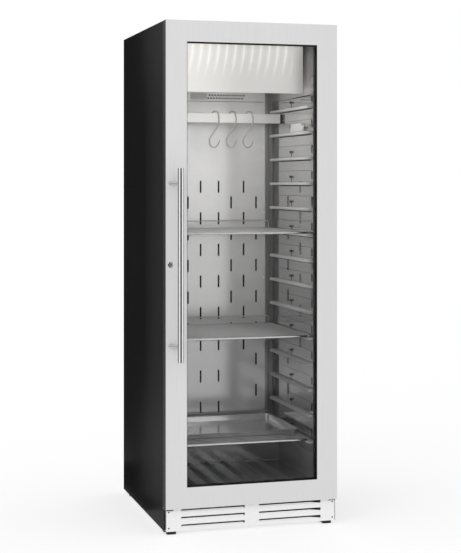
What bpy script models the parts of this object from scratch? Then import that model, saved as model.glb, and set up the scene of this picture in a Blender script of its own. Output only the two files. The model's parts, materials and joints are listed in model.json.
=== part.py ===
"""Dry aging cabinet: an upright insulated cabinet with a glazed steel door.

Run with: blender --background --python part.py
Units are metres, +Z is up and the door faces -Y. The origin is the middle of the footprint, on the floor.
"""

import math

import bmesh
import bpy
from mathutils import Matrix, Vector

# Overall sizes
WIDTH = 0.595
BODY_DEPTH = 0.680
BODY_HEIGHT = 1.678
FOOT_HEIGHT = 0.012

# Clearances and the overrun that every cut shares
GAP = 0.0003
OVERRUN = 0.004
RUNNING_GAP = 0.0020

# Sheet, walls and foam
SHEET = 0.0012
FOLD = 0.012
SIDE_WALL = 0.0525
CEILING_WALL = 0.0530
REAR_FOAM = 0.0500
REAR_RECESS = 0.0240
BASE_CHANNEL = 0.0740
FLOOR_WALL = 0.0450
BREAKER_THICKNESS = 0.0060

# Machine room step in the lower rear of the liner
STEP_FRONT = 0.4740
STEP_TOP = 0.2450
STEP_WALL = 0.0450

# Door
DOOR_THICKNESS = 0.0380
DOOR_STANDOFF = 0.0080
DOOR_LIFT = 0.0753
STILE = 0.0715
RAIL = 0.0700
SKIN_EDGE_RADIUS = 0.0006
REBATE = 0.0090
PANE = 0.0040
PANE_SPACE = 0.0120
SPACER_WIDTH = 0.0070
GASKET_INSET = 0.0310
GASKET_WIDTH = 0.0130

# Hinges
HINGE_INSET = 0.0120
HINGE_PIN_RADIUS = 0.0040
HINGE_PIN_LENGTH = 0.0180
PIN_PLAY = 0.0001
BUSH_WALL = 0.0030
BUSH_FLANGE_WALL = 0.0052
BUSH_FLANGE = 0.0012
LEAF_THICKNESS = 0.0030
LEAF_HALF_WIDTH = 0.0080
LEAF_INNER_REACH = 0.0160
LEAF_LEG_THICKNESS = 0.0027
LEAF_LEG_HEIGHT = 0.0280
LEAF_POCKET_MARGIN = 0.0050

# Handle and lock
HANDLE_STANDOFF = 0.0500
HANDLE_BAR_RADIUS = 0.0100
HANDLE_BAR_INSET = 0.0381
HANDLE_POST_INSET = 0.0165
HANDLE_POST_RADIUS = 0.0070
HANDLE_BAR_LENGTH = 0.6310
HANDLE_BAR_BOTTOM = 0.5615
HANDLE_POST_END_OFFSET = 0.0500
LOCK_HEIGHT = 0.8760
LOCK_INSET = 0.0170
LOCK_BARREL_RADIUS = 0.0085
LOCK_COLLAR_RADIUS = 0.0105
LOCK_COLLAR = 0.0020
LOCK_PLUG_RADIUS = 0.0060
LOCK_SHAFT_RADIUS = 0.0035
LOCK_CAM_REACH = 0.0110
LOCK_CAM_HALF_WIDTH = 0.0050
LOCK_CAM_THICKNESS = 0.0018
KEEPER_THICKNESS = 0.0018
KEEPER_WIDTH = 0.0060
KEEPER_FOOT = 0.0130

# Base grille
GRILLE_SETBACK = 0.0120
GRILLE_MARGIN = 0.0050
GRILLE_LIFT = 0.0010
GRILLE_TOP_GAP = 0.0010
TOE_SETBACK = 0.0200
SLOT_ROWS = 3
SLOT_ROW_PITCH = 0.0252
SLOT_TOP_DROP = 0.0027
SLOT_HEIGHT = 0.0048
SLOT_SIDE_GAP = 0.0550
SLOT_MIDDLE_GAP = 0.0500

# Rear air duct
DUCT_FRONT = 0.5500
DUCT_SIDE_GAP = 0.0280
DUCT_SLOT_HEIGHT = 0.0460
DUCT_SLOT_WIDTH = 0.0064
DUCT_SLOT_PITCH = 0.0585
DUCT_COLUMN_PITCH = 0.0485
DUCT_FIRST_COLUMN = 0.0345
DUCT_TOP_SLOT_DROP = 0.3206
DUCT_COLUMNS = 4
DUCT_SPARSE_ROW = 11
DUCT_SPARSE_COLUMNS = (1, 2)
DUCT_HEADER_MARGIN = 0.0050
DUCT_PORT_LENGTH = 0.0630
DUCT_PORT_INSET = 0.1430
DUCT_HOLE_RADIUS = 0.0026
DUCT_HOLE_PITCH = 0.0110
DUCT_HOLE_COLUMNS = 13
DUCT_HOLE_ROWS = 2

# Air unit under the ceiling
UNIT_FRONT = 0.1000
UNIT_HEIGHT = 0.1750
UNIT_SIDE_GAP = 0.0350
UNIT_FLOOR_RISE = 0.0320
UNIT_INTAKE_ROWS = 2
UNIT_INTAKE_COLUMNS = 6
UNIT_HOLE_RADIUS = 0.0042
UNIT_HOLE_PITCH = 0.0180
UNIT_PORT_MARGIN = 0.0200
UNIT_PORT_EDGE = 0.0050
UNIT_FAN_GRILLE_SLOTS = 6
UNIT_FAN_GRILLE_SLOT = 0.0050
UNIT_FAN_GRILLE_PITCH = 0.0100
UNIT_FAN_GRILLE_LENGTH = 0.0600

# Coils
COIL_FINS = 7
COIL_FIN_THICKNESS = 0.0020
COIL_TUBE_RADIUS = 0.0045
COIL_PASSES = 3
COIL_PASS_PITCH = 0.0320
EVAPORATOR_LENGTH = 0.3000
EVAPORATOR_DEPTH = 0.1000
EVAPORATOR_HEIGHT = 0.0500
EVAPORATOR_SETBACK = 0.2200
CONDENSER_LENGTH = 0.1300
CONDENSER_DEPTH = 0.1000
CONDENSER_HEIGHT = 0.0500

# Fans
FAN_SIZE = 0.1100
FAN_THICKNESS = 0.0250
FAN_HOLE_RADIUS = 0.0520
FAN_HUB_RADIUS = 0.0180
FAN_BLADE_TIP_GAP = 0.0030
FAN_BLADES = 7
FAN_BLADE_THICKNESS = 0.0016
FAN_BLADE_DEGREES = 35
FAN_MOUNT = 0.0030
FAN_STRUTS = 3
FAN_STRUT_WIDTH = 0.0060

# Light
LIGHT_SETBACK = 0.0700
LIGHT_DEPTH = 0.0180
LIGHT_HEIGHT = 0.0120
LIGHT_SIDE_GAP = 0.0350
LIGHT_DIODE_RADIUS = 0.0040
LIGHT_DIODE_DROP = 0.0020
LIGHT_DIODE_PITCH = 0.0300

# Side racks
RACK_FRONT = 0.0900
RACK_REAR = 0.5450
RACK_SHEET = 0.0015
RACK_TOP_DROP = 0.0050
RACK_TAIL = 0.0450
RACK_LEDGE_PITCH = 0.0888
RACK_TOP_LEDGE_DROP = 0.1221
RACK_LEDGE_REACH = 0.0160
RACK_LEDGE_HEIGHT = 0.0095
RACK_LEDGE_LIP = 0.0030

# Hanging bar and hooks
BAR_SETBACK = 0.4300
BAR_DROP = 0.0543
BAR_HEIGHT = 0.0342
BAR_THICKNESS = 0.0100
BAR_END_PLATE = 0.0030
BAR_END_FLANGE = 0.0120
HOOK_COUNT = 3
HOOK_PITCH = 0.0640
HOOK_FIRST = -0.0020
HOOK_WIRE_RADIUS = 0.0024
HOOK_HEIGHT = 0.1360
HOOK_BOWL_WIDTH = 0.0400
HOOK_TIP_RISE = 0.0340
HOOK_LEAN = 0.0350
HOOK_BACK_DROP = 0.0180

# Wire shelves
SHELF_FRONT = 0.0950
SHELF_REAR = 0.5350
SHELF_SIDE_GAP = 0.0030
SHELF_ROD_RADIUS = 0.0045
SHELF_WIRE_RADIUS = 0.0018
SHELF_WIRES = 18
SHELF_CORNER_RADIUS = 0.0120
SHELF_STOP_HEIGHT = 0.0300
SHELF_SUPPORTS = 2
SHELF_TRAVEL = 0.0400
SHELF_NAMES = ("shelf_upper", "shelf_middle", "shelf_lower")
SHELF_SUPPORT_SPREAD = 0.1600

# Drip tray
TRAY_FRONT = 0.1700
TRAY_REAR = 0.5150
TRAY_HEIGHT = 0.0200
TRAY_LIP = 0.0080
TRAY_TRAVEL = 0.0600
TRAY_TAPER = 0.0060
TRAY_DRAIN_RADIUS = 0.0050
TRAY_DRAIN_SHIFT = 0.1080

# Corrugated floor
FLOOR_RIDGES = 6
FLOOR_RIDGE_PITCH = 0.0660
FLOOR_RIDGE_HEIGHT = 0.0110
FLOOR_RIDGE_TOP = 0.0140
FLOOR_RIDGE_FOOT = 0.0360
FLOOR_FRONT = 0.0560

# Small parts on the right wall
SENSOR_FRONT = 0.1900
SENSOR_LENGTH = 0.1000
SENSOR_HEIGHT = 0.0300
SENSOR_DEPTH = 0.0120
SENSOR_SLANT = 0.0120
SWITCH_SETBACK = 0.0750
SWITCH_RISE = 0.0450
SWITCH_SIZE = 0.0160
SWITCH_LENGTH = 0.0240

# Feet
FOOT_INSET_X = 0.0290
FOOT_INSET_FRONT = 0.0720
FOOT_INSET_REAR = 0.0700
FOOT_RADIUS = 0.0190
FOOT_STUD_RADIUS = 0.0040
FOOT_STUD_LENGTH = 0.0240
FOOT_NUT_RADIUS = 0.0085
FOOT_NUT_HEIGHT = 0.0080
FOOT_HOLE_PLAY = 0.0004

# Machine room
COMPRESSOR_RADIUS = 0.0600
COMPRESSOR_HEIGHT = 0.1500
COMPRESSOR_SHOULDER = 0.0300
COMPRESSOR_SEAM = 0.0040
COMPRESSOR_SEAM_HEIGHT = 0.0080
COMPRESSOR_INSET = 0.1475
COMPRESSOR_FOOT_LENGTH = 0.0600
COMPRESSOR_FOOT_WIDTH = 0.0200
COMPRESSOR_FOOT_THICKNESS = 0.0030
COMPRESSOR_FOOT_LIFT = 0.0100
CONDENSER_INSET = 0.1325
CONDENSER_FAN_GAP = 0.0120
MACHINE_COVER_INSET = 0.0040
COVER_SLOT_ROWS = 7
COVER_SLOT_HEIGHT = 0.0060
COVER_SLOT_PITCH = 0.0160
COVER_SLOT_LENGTH = 0.2000
GLAND_RADIUS = 0.0110
GLAND_BORE = 0.0045
GLAND_LENGTH = 0.0160
GLAND_FLANGE = 0.0020
GLAND_FLANGE_WALL = 0.0040
CONDENSATE_TRAY_LENGTH = 0.1500
CONDENSATE_TRAY_DEPTH = 0.0900
CONDENSATE_TRAY_HEIGHT = 0.0200
MODULE_LENGTH = 0.1100
MODULE_DEPTH = 0.0700
MODULE_HEIGHT = 0.0400

# Facets of round pieces
FINE_SIDES = 20
ROUND_SIDES = 16
FOOT_SIDES = 12
SMALL_SIDES = 8
WIRE_SIDES = 6
SHELF_WIRE_SIDES = 4
CORNER_STEPS = 3

# Places worked out from the sizes above
half_width = WIDTH / 2
handle_reach = HANDLE_STANDOFF + HANDLE_BAR_RADIUS
face_y = (handle_reach - BODY_DEPTH) / 2
rear_y = face_y + BODY_DEPTH
base_z = FOOT_HEIGHT
top_z = base_z + BODY_HEIGHT
door_back_y = face_y + DOOR_THICKNESS
front_y = door_back_y + DOOR_STANDOFF
body_y = front_y + BREAKER_THICKNESS + GAP
door_z = base_z + DOOR_LIFT
inner_x = half_width - SIDE_WALL
floor_z = base_z + BASE_CHANNEL + FLOOR_WALL
ceiling_z = top_z - CEILING_WALL
rear_panel_y = rear_y - REAR_RECESS
liner_rear_y = rear_panel_y - GAP - REAR_FOAM
step_y = face_y + STEP_FRONT
step_z = base_z + STEP_TOP
machine_y = step_y + STEP_WALL
machine_z = step_z - STEP_WALL
machine_middle_y = (machine_y + rear_panel_y) / 2
skin_x = half_width - SHEET - GAP
duct_y = face_y + DUCT_FRONT
unit_y = face_y + UNIT_FRONT
unit_z = ceiling_z - UNIT_HEIGHT
unit_floor_z = unit_z + UNIT_FLOOR_RISE
unit_x = inner_x - UNIT_SIDE_GAP
duct_x = inner_x - DUCT_SIDE_GAP
bar_top_z = unit_z - BAR_DROP
rack_top_z = unit_z - RACK_TOP_DROP
top_ledge_z = rack_top_z - RACK_TOP_LEDGE_DROP
ledge_count = int((top_ledge_z - step_z) / RACK_LEDGE_PITCH) + 1
shelf_step = (ledge_count - 1) // len(SHELF_NAMES)
shelf_ledges = [ledge_count - 1 - shelf_step * index for index in reversed(range(len(SHELF_NAMES)))]
compressor_x = half_width - COMPRESSOR_INSET
condenser_x = CONDENSER_INSET - half_width
rack_x = inner_x - GAP
ledge_x = rack_x - RACK_SHEET - RACK_LEDGE_REACH
slot_far_x = half_width - SLOT_SIDE_GAP
hinge_x = half_width - HINGE_INSET
hinge_y = face_y + DOOR_THICKNESS / 2
opening_x = half_width - STILE
opening_bottom = door_z + RAIL
opening_top = top_z - RAIL
leaf_top_z = door_z - GAP - BUSH_FLANGE - GAP
upper_leaf_z = top_z - RUNNING_GAP - LEAF_THICKNESS
pocket_z = upper_leaf_z - GAP - BUSH_FLANGE - GAP


def clear_scene():
    for obj in list(bpy.data.objects):
        bpy.data.objects.remove(obj, do_unlink=True)


def new_collection(name):
    collection = bpy.data.collections.new(name)
    bpy.context.scene.collection.children.link(collection)
    return collection


clear_scene()
PARTS = new_collection("dry_aging_cabinet")
CUTTERS = new_collection("cutters")


def finish(name, colour, roughness, metallic, alpha=1.0):
    """A Principled material."""
    material = bpy.data.materials.new(name)
    material.use_nodes = True
    shader = material.node_tree.nodes["Principled BSDF"]
    shader.inputs["Base Color"].default_value = (*colour, 1.0)
    shader.inputs["Roughness"].default_value = roughness
    shader.inputs["Metallic"].default_value = metallic
    shader.inputs["Alpha"].default_value = alpha
    return material


BLACK_PAINT = finish("black_paint", (0.03, 0.03, 0.03), 0.4, 0.0)
BLACK_PLASTIC = finish("black_plastic", (0.02, 0.02, 0.02), 0.5, 0.0)
DOOR_STEEL = finish("door_steel", (0.72, 0.72, 0.72), 0.35, 1.0)
LINER_STEEL = finish("liner_steel", (0.62, 0.62, 0.62), 0.25, 1.0)
WIRE_STEEL = finish("wire_steel", (0.70, 0.70, 0.70), 0.2, 1.0)
CHROME = finish("chrome", (0.85, 0.85, 0.85), 0.08, 1.0)
ZINC = finish("zinc", (0.55, 0.56, 0.57), 0.45, 1.0)
FOAM = finish("foam", (0.80, 0.72, 0.50), 0.9, 0.0)
GLASS = finish("glass", (0.85, 0.88, 0.88), 0.02, 0.0, 0.3)
RUBBER = finish("rubber", (0.03, 0.03, 0.03), 0.8, 0.0)
COPPER = finish("copper", (0.72, 0.42, 0.28), 0.35, 1.0)
ALUMINIUM = finish("aluminium", (0.75, 0.76, 0.78), 0.4, 1.0)
WHITE_PLASTIC = finish("white_plastic", (0.82, 0.82, 0.80), 0.4, 0.0)
LENS = finish("lens", (0.95, 0.93, 0.86), 0.2, 0.0)


def add_object(name, mesh, material=None, location=(0, 0, 0)):
    obj = bpy.data.objects.new(name, mesh)
    obj.location = location
    if material is None:
        obj.display_type = "WIRE"
        obj.hide_render = True
        CUTTERS.objects.link(obj)
    else:
        mesh.materials.append(material)
        PARTS.objects.link(obj)
    return obj


def mesh_of(name, build, smooth=None):
    """A mesh that build fills through bmesh, smooth where faces meet under that many degrees."""
    mesh = bpy.data.meshes.new(name)
    bm = bmesh.new()
    build(bm)
    bmesh.ops.recalc_face_normals(bm, faces=bm.faces)
    bm.to_mesh(mesh)
    bm.free()
    if smooth is not None:
        mesh.shade_smooth()
        mesh.set_sharp_from_angle(angle=math.radians(smooth))
    return mesh


def put_box(bm, low, high):
    low, high = Vector(low), Vector(high)
    made = bmesh.ops.create_cube(bm, size=1.0)
    bmesh.ops.scale(bm, vec=high - low, verts=made["verts"])
    bmesh.ops.translate(bm, vec=(low + high) / 2, verts=made["verts"])
    return made["verts"]


def put_rod(bm, start, end, radius, sides, end_radius=None):
    """A closed cylinder or cone between two points."""
    start, end = Vector(start), Vector(end)
    run = end - start
    made = bmesh.ops.create_cone(
        bm,
        cap_ends=True,
        segments=sides,
        radius1=radius,
        radius2=radius if end_radius is None else end_radius,
        depth=run.length,
    )
    turn = run.to_track_quat("Z", "Y").to_matrix()
    bmesh.ops.rotate(bm, cent=(0, 0, 0), matrix=turn, verts=made["verts"])
    bmesh.ops.translate(bm, vec=(start + end) / 2, verts=made["verts"])
    return made["verts"]


def put_outline(bm, points, axis, low, high):
    """A flat outline in the plane square to axis, given as that plane's two coordinates, pushed from low to high."""

    def place(pair, level):
        first, second = pair
        if axis == "X":
            return (level, first, second)
        if axis == "Y":
            return (first, level, second)
        return (first, second, level)

    verts = [bm.verts.new(place(pair, low)) for pair in points]
    face = bm.faces.new(verts)
    pushed = bmesh.ops.extrude_face_region(bm, geom=[face])
    moved = [item for item in pushed["geom"] if isinstance(item, bmesh.types.BMVert)]
    shift = Vector(place((0, 0), high - low))
    bmesh.ops.translate(bm, vec=shift, verts=moved)


def box(name, low, high, material=None):
    return add_object(name, mesh_of(name, lambda bm: put_box(bm, low, high)), material)


def boxes(name, pairs, material=None):
    def build(bm):
        for low, high in pairs:
            put_box(bm, low, high)

    return add_object(name, mesh_of(name, build), material)


def rod(name, start, end, radius, sides, material=None, end_radius=None):
    def build(bm):
        put_rod(bm, start, end, radius, sides, end_radius)

    return add_object(name, mesh_of(name, build, 40), material)


def rods(name, rows, sides, material=None):
    """Rods given as rows of start, end and radius."""

    def build(bm):
        for start, end, radius in rows:
            put_rod(bm, start, end, radius, sides)

    return add_object(name, mesh_of(name, build, 40), material)


def outline(name, points, axis, low, high, material=None):
    def build(bm):
        put_outline(bm, points, axis, low, high)

    return add_object(name, mesh_of(name, build), material)


def boolean(obj, other, operation):
    modifier = obj.modifiers.new(f"{operation.lower()} {other.name}", "BOOLEAN")
    modifier.operation = operation
    modifier.object = other
    modifier.solver = "EXACT"


def cut(obj, *others):
    for other in others:
        boolean(obj, other, "DIFFERENCE")
    return obj


def join(obj, *others):
    for other in others:
        boolean(obj, other, "UNION")
    return obj


def bevel(obj, width, segments=1, angle=40):
    modifier = obj.modifiers.new("bevel", "BEVEL")
    modifier.width = width
    modifier.segments = segments
    modifier.limit_method = "ANGLE"
    modifier.angle_limit = math.radians(angle)
    return obj


def ring_box(name, low, high, inner_low, inner_high, material):
    """A flat frame: a box with a window through it along Y."""
    frame = box(name, low, high, material)
    window_low = (inner_low[0], low[1] - OVERRUN, inner_low[1])
    window_high = (inner_high[0], high[1] + OVERRUN, inner_high[1])
    return cut(frame, box(f"{name}_window", window_low, window_high))


def arc(centre, radius, start, end, steps):
    """Points of an arc in a plane, angles in degrees."""
    points = []
    for step in range(steps + 1):
        angle = math.radians(start + (end - start) * step / steps)
        points.append((centre[0] + radius * math.cos(angle), centre[1] + radius * math.sin(angle)))
    return points


def turned(name, profile, centre, material, axis="Z", sides=FINE_SIDES):
    """A Screw of (radius, height) points, top to bottom, about an axis through centre."""
    mesh = bpy.data.meshes.new(name)
    count = len(profile)
    mesh.from_pydata([(radius, 0, height) for radius, height in profile], [(i, i + 1) for i in range(count - 1)], [])
    obj = add_object(name, mesh, material, centre)
    screw = obj.modifiers.new("screw", "SCREW")
    screw.steps = screw.render_steps = sides
    screw.use_merge_vertices = True
    screw.merge_threshold = GAP / SMALL_SIDES
    screw.use_smooth_shade = False
    if axis == "Y":
        obj.rotation_euler = (math.radians(90), 0, 0)
    return obj


def tube(name, points, radius, sides_level, material=None, cyclic=False):
    """A mesh tube along a smooth run of points, with welded caps."""
    curve = bpy.data.curves.new(f"{name}_path", "CURVE")
    curve.dimensions = "3D"
    spline = curve.splines.new("POLY")
    spline.points.add(len(points) - 1)
    for point, place in zip(spline.points, points):
        point.co = (*place, 1)
    spline.use_cyclic_u = cyclic
    curve.bevel_depth = radius
    curve.bevel_resolution = sides_level
    curve.use_fill_caps = not cyclic
    guide = bpy.data.objects.new(f"{name}_path", curve)
    CUTTERS.objects.link(guide)
    bpy.context.view_layer.update()
    mesh = bpy.data.meshes.new_from_object(guide.evaluated_get(bpy.context.evaluated_depsgraph_get()))
    bpy.data.objects.remove(guide)
    bm = bmesh.new()
    bm.from_mesh(mesh)
    bmesh.ops.remove_doubles(bm, verts=bm.verts, dist=GAP / FINE_SIDES)
    bmesh.ops.recalc_face_normals(bm, faces=bm.faces)
    bm.to_mesh(mesh)
    bm.free()
    mesh.name = name
    mesh.materials.clear()
    return add_object(name, mesh, material)


def smooth_run(points, steps):
    """A Catmull-Rom run through the points."""
    knots = [Vector(point) for point in points]
    padded = [2 * knots[0] - knots[1], *knots, 2 * knots[-1] - knots[-2]]
    run = []
    for before, start, end, after in zip(padded, padded[1:], padded[2:], padded[3:]):
        for step in range(steps):
            t = step / steps
            run.append(
                0.5
                * (
                    2 * start
                    + (end - before) * t
                    + (2 * before - 5 * start + 4 * end - after) * t**2
                    + (3 * start - before - 3 * end + after) * t**3
                )
            )
    run.append(knots[-1])
    return run


# Outer skin


def side_panel(side, sign):
    """A black sheet with a toe that runs forward beside the base grille, and a fold at the rear."""
    inner, outer = half_width - SHEET, half_width
    toe_top = leaf_top_z - LEAF_THICKNESS - GAP
    toe_front = face_y + TOE_SETBACK
    points = [
        (toe_front, base_z),
        (rear_y, base_z),
        (rear_y, top_z),
        (body_y, top_z),
        (body_y, toe_top),
        (toe_front, toe_top),
    ]
    low, high = sorted((sign * inner, sign * outer))
    panel = outline(f"side_panel_{side}", points, "X", low, high, BLACK_PAINT)
    fold_low, fold_high = sorted((sign * (outer - FOLD), sign * (outer - SHEET / 2)))
    fold = box(
        f"side_fold_{side}",
        (fold_low, rear_y - SHEET, machine_z),
        (fold_high, rear_y, top_z - SHEET - GAP),
    )
    return join(panel, fold)


def top_panel():
    """The lid sheet, folded down at the rear."""
    points = [
        (body_y, top_z - SHEET),
        (rear_y - SHEET, top_z - SHEET),
        (rear_y - SHEET, top_z - FOLD),
        (rear_y, top_z - FOLD),
        (rear_y, top_z),
        (body_y, top_z),
    ]
    reach = half_width - SHEET - GAP
    panel = outline("top_panel", points, "X", -reach, reach, BLACK_PAINT)
    notches = boxes(
        "top_panel_notches",
        [
            (
                (sign * reach - FOLD, rear_y - SHEET - OVERRUN, top_z - FOLD - OVERRUN),
                (sign * reach + FOLD, rear_y + OVERRUN, top_z - SHEET),
            )
            for sign in (-1, 1)
        ],
    )
    return cut(panel, notches)


def rear_panel():
    return box(
        "rear_panel",
        (-skin_x, rear_panel_y, machine_z + GAP),
        (skin_x, rear_panel_y + SHEET, top_z - SHEET - GAP),
        ZINC,
    )


def cavity_points(offset, front):
    """The inside of the cabinet in the Y-Z plane, grown by offset, and open at the front."""
    return [
        (front, floor_z - offset),
        (step_y + offset, floor_z - offset),
        (step_y + offset, step_z - offset),
        (liner_rear_y + offset, step_z - offset),
        (liner_rear_y + offset, ceiling_z + offset),
        (front, ceiling_z + offset),
    ]


def insulation():
    """Foamed walls with a step over the machine room."""
    foam_top = top_z - SHEET - GAP
    foam_rear = rear_panel_y - GAP
    points = [
        (body_y, base_z + BASE_CHANNEL),
        (machine_y, base_z + BASE_CHANNEL),
        (machine_y, machine_z),
        (foam_rear, machine_z),
        (foam_rear, foam_top),
        (body_y, foam_top),
    ]
    block = outline("insulation", points, "X", -skin_x, skin_x, FOAM)
    grow = SHEET + GAP
    hollow = outline(
        "insulation_hollow",
        cavity_points(grow, body_y - OVERRUN),
        "X",
        -inner_x - grow,
        inner_x + grow,
    )
    return cut(block, hollow)


def liner():
    """The stainless inner box, a sheet all round, open at the front."""
    shell = outline("liner", cavity_points(SHEET, body_y), "X", -inner_x - SHEET, inner_x + SHEET, LINER_STEEL)
    hollow = outline("liner_hollow", cavity_points(0, body_y - OVERRUN), "X", -inner_x, inner_x)
    return cut(shell, hollow)


def breaker_frame():
    """The black rim that closes the foam between the skin and the liner, where the gasket lands."""
    return ring_box(
        "breaker_frame",
        (-half_width, front_y, door_z),
        (half_width, front_y + BREAKER_THICKNESS, top_z),
        (-inner_x, floor_z),
        (inner_x, ceiling_z),
        BLACK_PLASTIC,
    )


# Base


def foot_places():
    for side, x in (("left", FOOT_INSET_X - half_width), ("right", half_width - FOOT_INSET_X)):
        yield f"front_{side}", (x, face_y + FOOT_INSET_FRONT)
        yield f"rear_{side}", (x, rear_y - FOOT_INSET_REAR)


def slot_boxes(front, back):
    """The grille's slots, two groups of rows, from one Y to another."""
    pairs = []
    for row in range(SLOT_ROWS):
        high = door_z - SLOT_TOP_DROP - row * SLOT_ROW_PITCH
        for sign in (-1, 1):
            near, far = sign * SLOT_MIDDLE_GAP / 2, sign * slot_far_x
            pairs.append(((min(near, far), front, high - SLOT_HEIGHT), (max(near, far), back, high)))
    return pairs


def base_pan():
    """The chassis: a folded pan under the cabinet with two air windows in front and a weld nut for each foot."""
    reach = skin_x
    pan_front = front_y + GAP
    pan_top = base_z + BASE_CHANNEL - GAP
    pan = box("base_pan", (-reach, pan_front, base_z), (reach, rear_y - SHEET - GAP, pan_top), ZINC)
    inside = box(
        "base_pan_inside",
        (-reach + SHEET, pan_front + SHEET, base_z + SHEET),
        (reach - SHEET, rear_y + OVERRUN, pan_top + OVERRUN),
    )
    window_low = base_z + FOLD
    windows = boxes(
        "base_pan_windows",
        [
            (
                (min(sign * SLOT_MIDDLE_GAP / 2, sign * slot_far_x), pan_front - OVERRUN, window_low),
                (max(sign * SLOT_MIDDLE_GAP / 2, sign * slot_far_x), pan_front + FOLD, pan_top - FOLD / 2),
            )
            for sign in (-1, 1)
        ],
    )
    nuts = rods(
        "base_pan_nuts",
        [((x, y, base_z + SHEET / 2), (x, y, base_z + SHEET + FOOT_NUT_HEIGHT), FOOT_NUT_RADIUS) for _, (x, y) in foot_places()],
        WIRE_SIDES,
    )
    holes = rods(
        "base_pan_holes",
        [
            ((x, y, base_z - OVERRUN), (x, y, base_z + SHEET + FOOT_NUT_HEIGHT + OVERRUN), FOOT_STUD_RADIUS + FOOT_HOLE_PLAY)
            for _, (x, y) in foot_places()
        ],
        ROUND_SIDES,
    )
    return cut(join(cut(pan, inside, windows), nuts), holes)


def kick_grille():
    """The stainless base grille, folded back all round, notched under the hinge, with three rows of slots each side."""
    front = face_y + GRILLE_SETBACK
    low, high = base_z + GRILLE_LIFT, door_z - GRILLE_TOP_GAP
    reach = half_width - GRILLE_MARGIN
    notch_x, notch_z = hinge_x - LEAF_INNER_REACH - 2 * GAP, leaf_top_z - LEAF_THICKNESS - GAP
    points = [
        (-reach, low),
        (reach, low),
        (reach, notch_z),
        (notch_x, notch_z),
        (notch_x, high),
        (-notch_x, high),
        (-notch_x, notch_z),
        (-reach, notch_z),
    ]
    grille = outline("kick_grille", points, "Y", front, front_y, DOOR_STEEL)
    inside = box(
        "kick_grille_inside",
        (-reach + SHEET, front + SHEET, low + SHEET),
        (reach - SHEET, front_y + OVERRUN, notch_z - SHEET),
    )
    under_door = box(
        "kick_grille_under_door",
        (-notch_x + SHEET, front + SHEET, low + SHEET),
        (notch_x - SHEET, front_y + OVERRUN, high - SHEET),
    )
    return cut(grille, inside, under_door, boxes("kick_grille_slots", slot_boxes(front - OVERRUN, front + SHEET + OVERRUN)))


def foot(place, centre):
    """A levelling foot: a round pad and a stud that screws up into the pan's nut."""
    x, y = centre
    edge = FOOT_RADIUS / ROUND_SIDES
    profile = [
        (0, FOOT_HEIGHT + FOOT_STUD_LENGTH),
        (FOOT_STUD_RADIUS - edge / 2, FOOT_HEIGHT + FOOT_STUD_LENGTH),
        (FOOT_STUD_RADIUS, FOOT_HEIGHT + FOOT_STUD_LENGTH - edge),
        (FOOT_STUD_RADIUS, FOOT_HEIGHT - GAP),
        (FOOT_RADIUS - edge, FOOT_HEIGHT - GAP),
        (FOOT_RADIUS, FOOT_HEIGHT - GAP - edge),
        (FOOT_RADIUS, edge),
        (FOOT_RADIUS - edge, 0),
        (0, 0),
    ]
    return turned(f"foot_{place}", profile, (x, y, 0), BLACK_PLASTIC, sides=FOOT_SIDES)


# Machine room


def coil(name, centre, length, depth, height, material):
    """A finned coil: plates across one unbroken serpentine tube."""
    x, y, z = centre
    fins = []
    for index in range(COIL_FINS):
        place = x - length / 2 + length * index / (COIL_FINS - 1)
        fins.append(
            (
                (place - COIL_FIN_THICKNESS / 2, y - depth / 2, z - height / 2),
                (place + COIL_FIN_THICKNESS / 2, y + depth / 2, z + height / 2),
            )
        )
    block = boxes(name, fins, material)
    bend = COIL_PASS_PITCH / 2
    reach = length / 2 + COIL_FIN_THICKNESS
    points = []
    for index in range(COIL_PASSES):
        pass_y = y + COIL_PASS_PITCH * (index - (COIL_PASSES - 1) / 2)
        sign = 1 if index % 2 == 0 else -1
        points.append((x - sign * reach, pass_y, z))
        points.append((x + sign * reach, pass_y, z))
        if index < COIL_PASSES - 1:
            for px, py in arc((x + sign * reach, pass_y + bend), bend, -90, 90, CORNER_STEPS)[1:-1]:
                points.append((2 * (x + sign * reach) - px if sign < 0 else px, py, z))
    return join(block, tube(f"{name}_tube", points, COIL_TUBE_RADIUS, 0))


def compressor():
    """A hermetic shell with its seam, on a foot plate."""
    y = machine_middle_y
    z = base_z + SHEET + GAP
    shoulder = COMPRESSOR_SHOULDER
    lift = COMPRESSOR_FOOT_LIFT
    height = COMPRESSOR_HEIGHT
    radius = COMPRESSOR_RADIUS
    middle = height / 2
    seam = COMPRESSOR_SEAM_HEIGHT / 2
    dome = [(radius - shoulder + r, height - shoulder + h) for r, h in arc((0, 0), shoulder, 90, 0, CORNER_STEPS)]
    belly = [(radius - shoulder + r, lift + shoulder + h) for r, h in arc((0, 0), shoulder, 0, -90, CORNER_STEPS)]
    profile = [
        (0, height),
        *dome,
        (radius, middle + seam),
        (radius + COMPRESSOR_SEAM, middle + seam),
        (radius + COMPRESSOR_SEAM, middle - seam),
        (radius, middle - seam),
        *belly,
        (0, lift),
    ]
    shell = turned("compressor", profile, (compressor_x, y, z), BLACK_PAINT)
    plates = boxes(
        "compressor_feet",
        [
            (
                (compressor_x - COMPRESSOR_FOOT_LENGTH, y - COMPRESSOR_FOOT_WIDTH / 2, z),
                (compressor_x + COMPRESSOR_FOOT_LENGTH, y + COMPRESSOR_FOOT_WIDTH / 2, z + COMPRESSOR_FOOT_THICKNESS),
            )
        ],
    )
    stem = rod(
        "compressor_stem",
        (compressor_x, y, z + COMPRESSOR_FOOT_THICKNESS / 2),
        (compressor_x, y, z + lift + COMPRESSOR_FOOT_THICKNESS),
        COMPRESSOR_FOOT_WIDTH / 2,
        ROUND_SIDES,
    )
    return join(shell, stem, plates)


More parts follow.
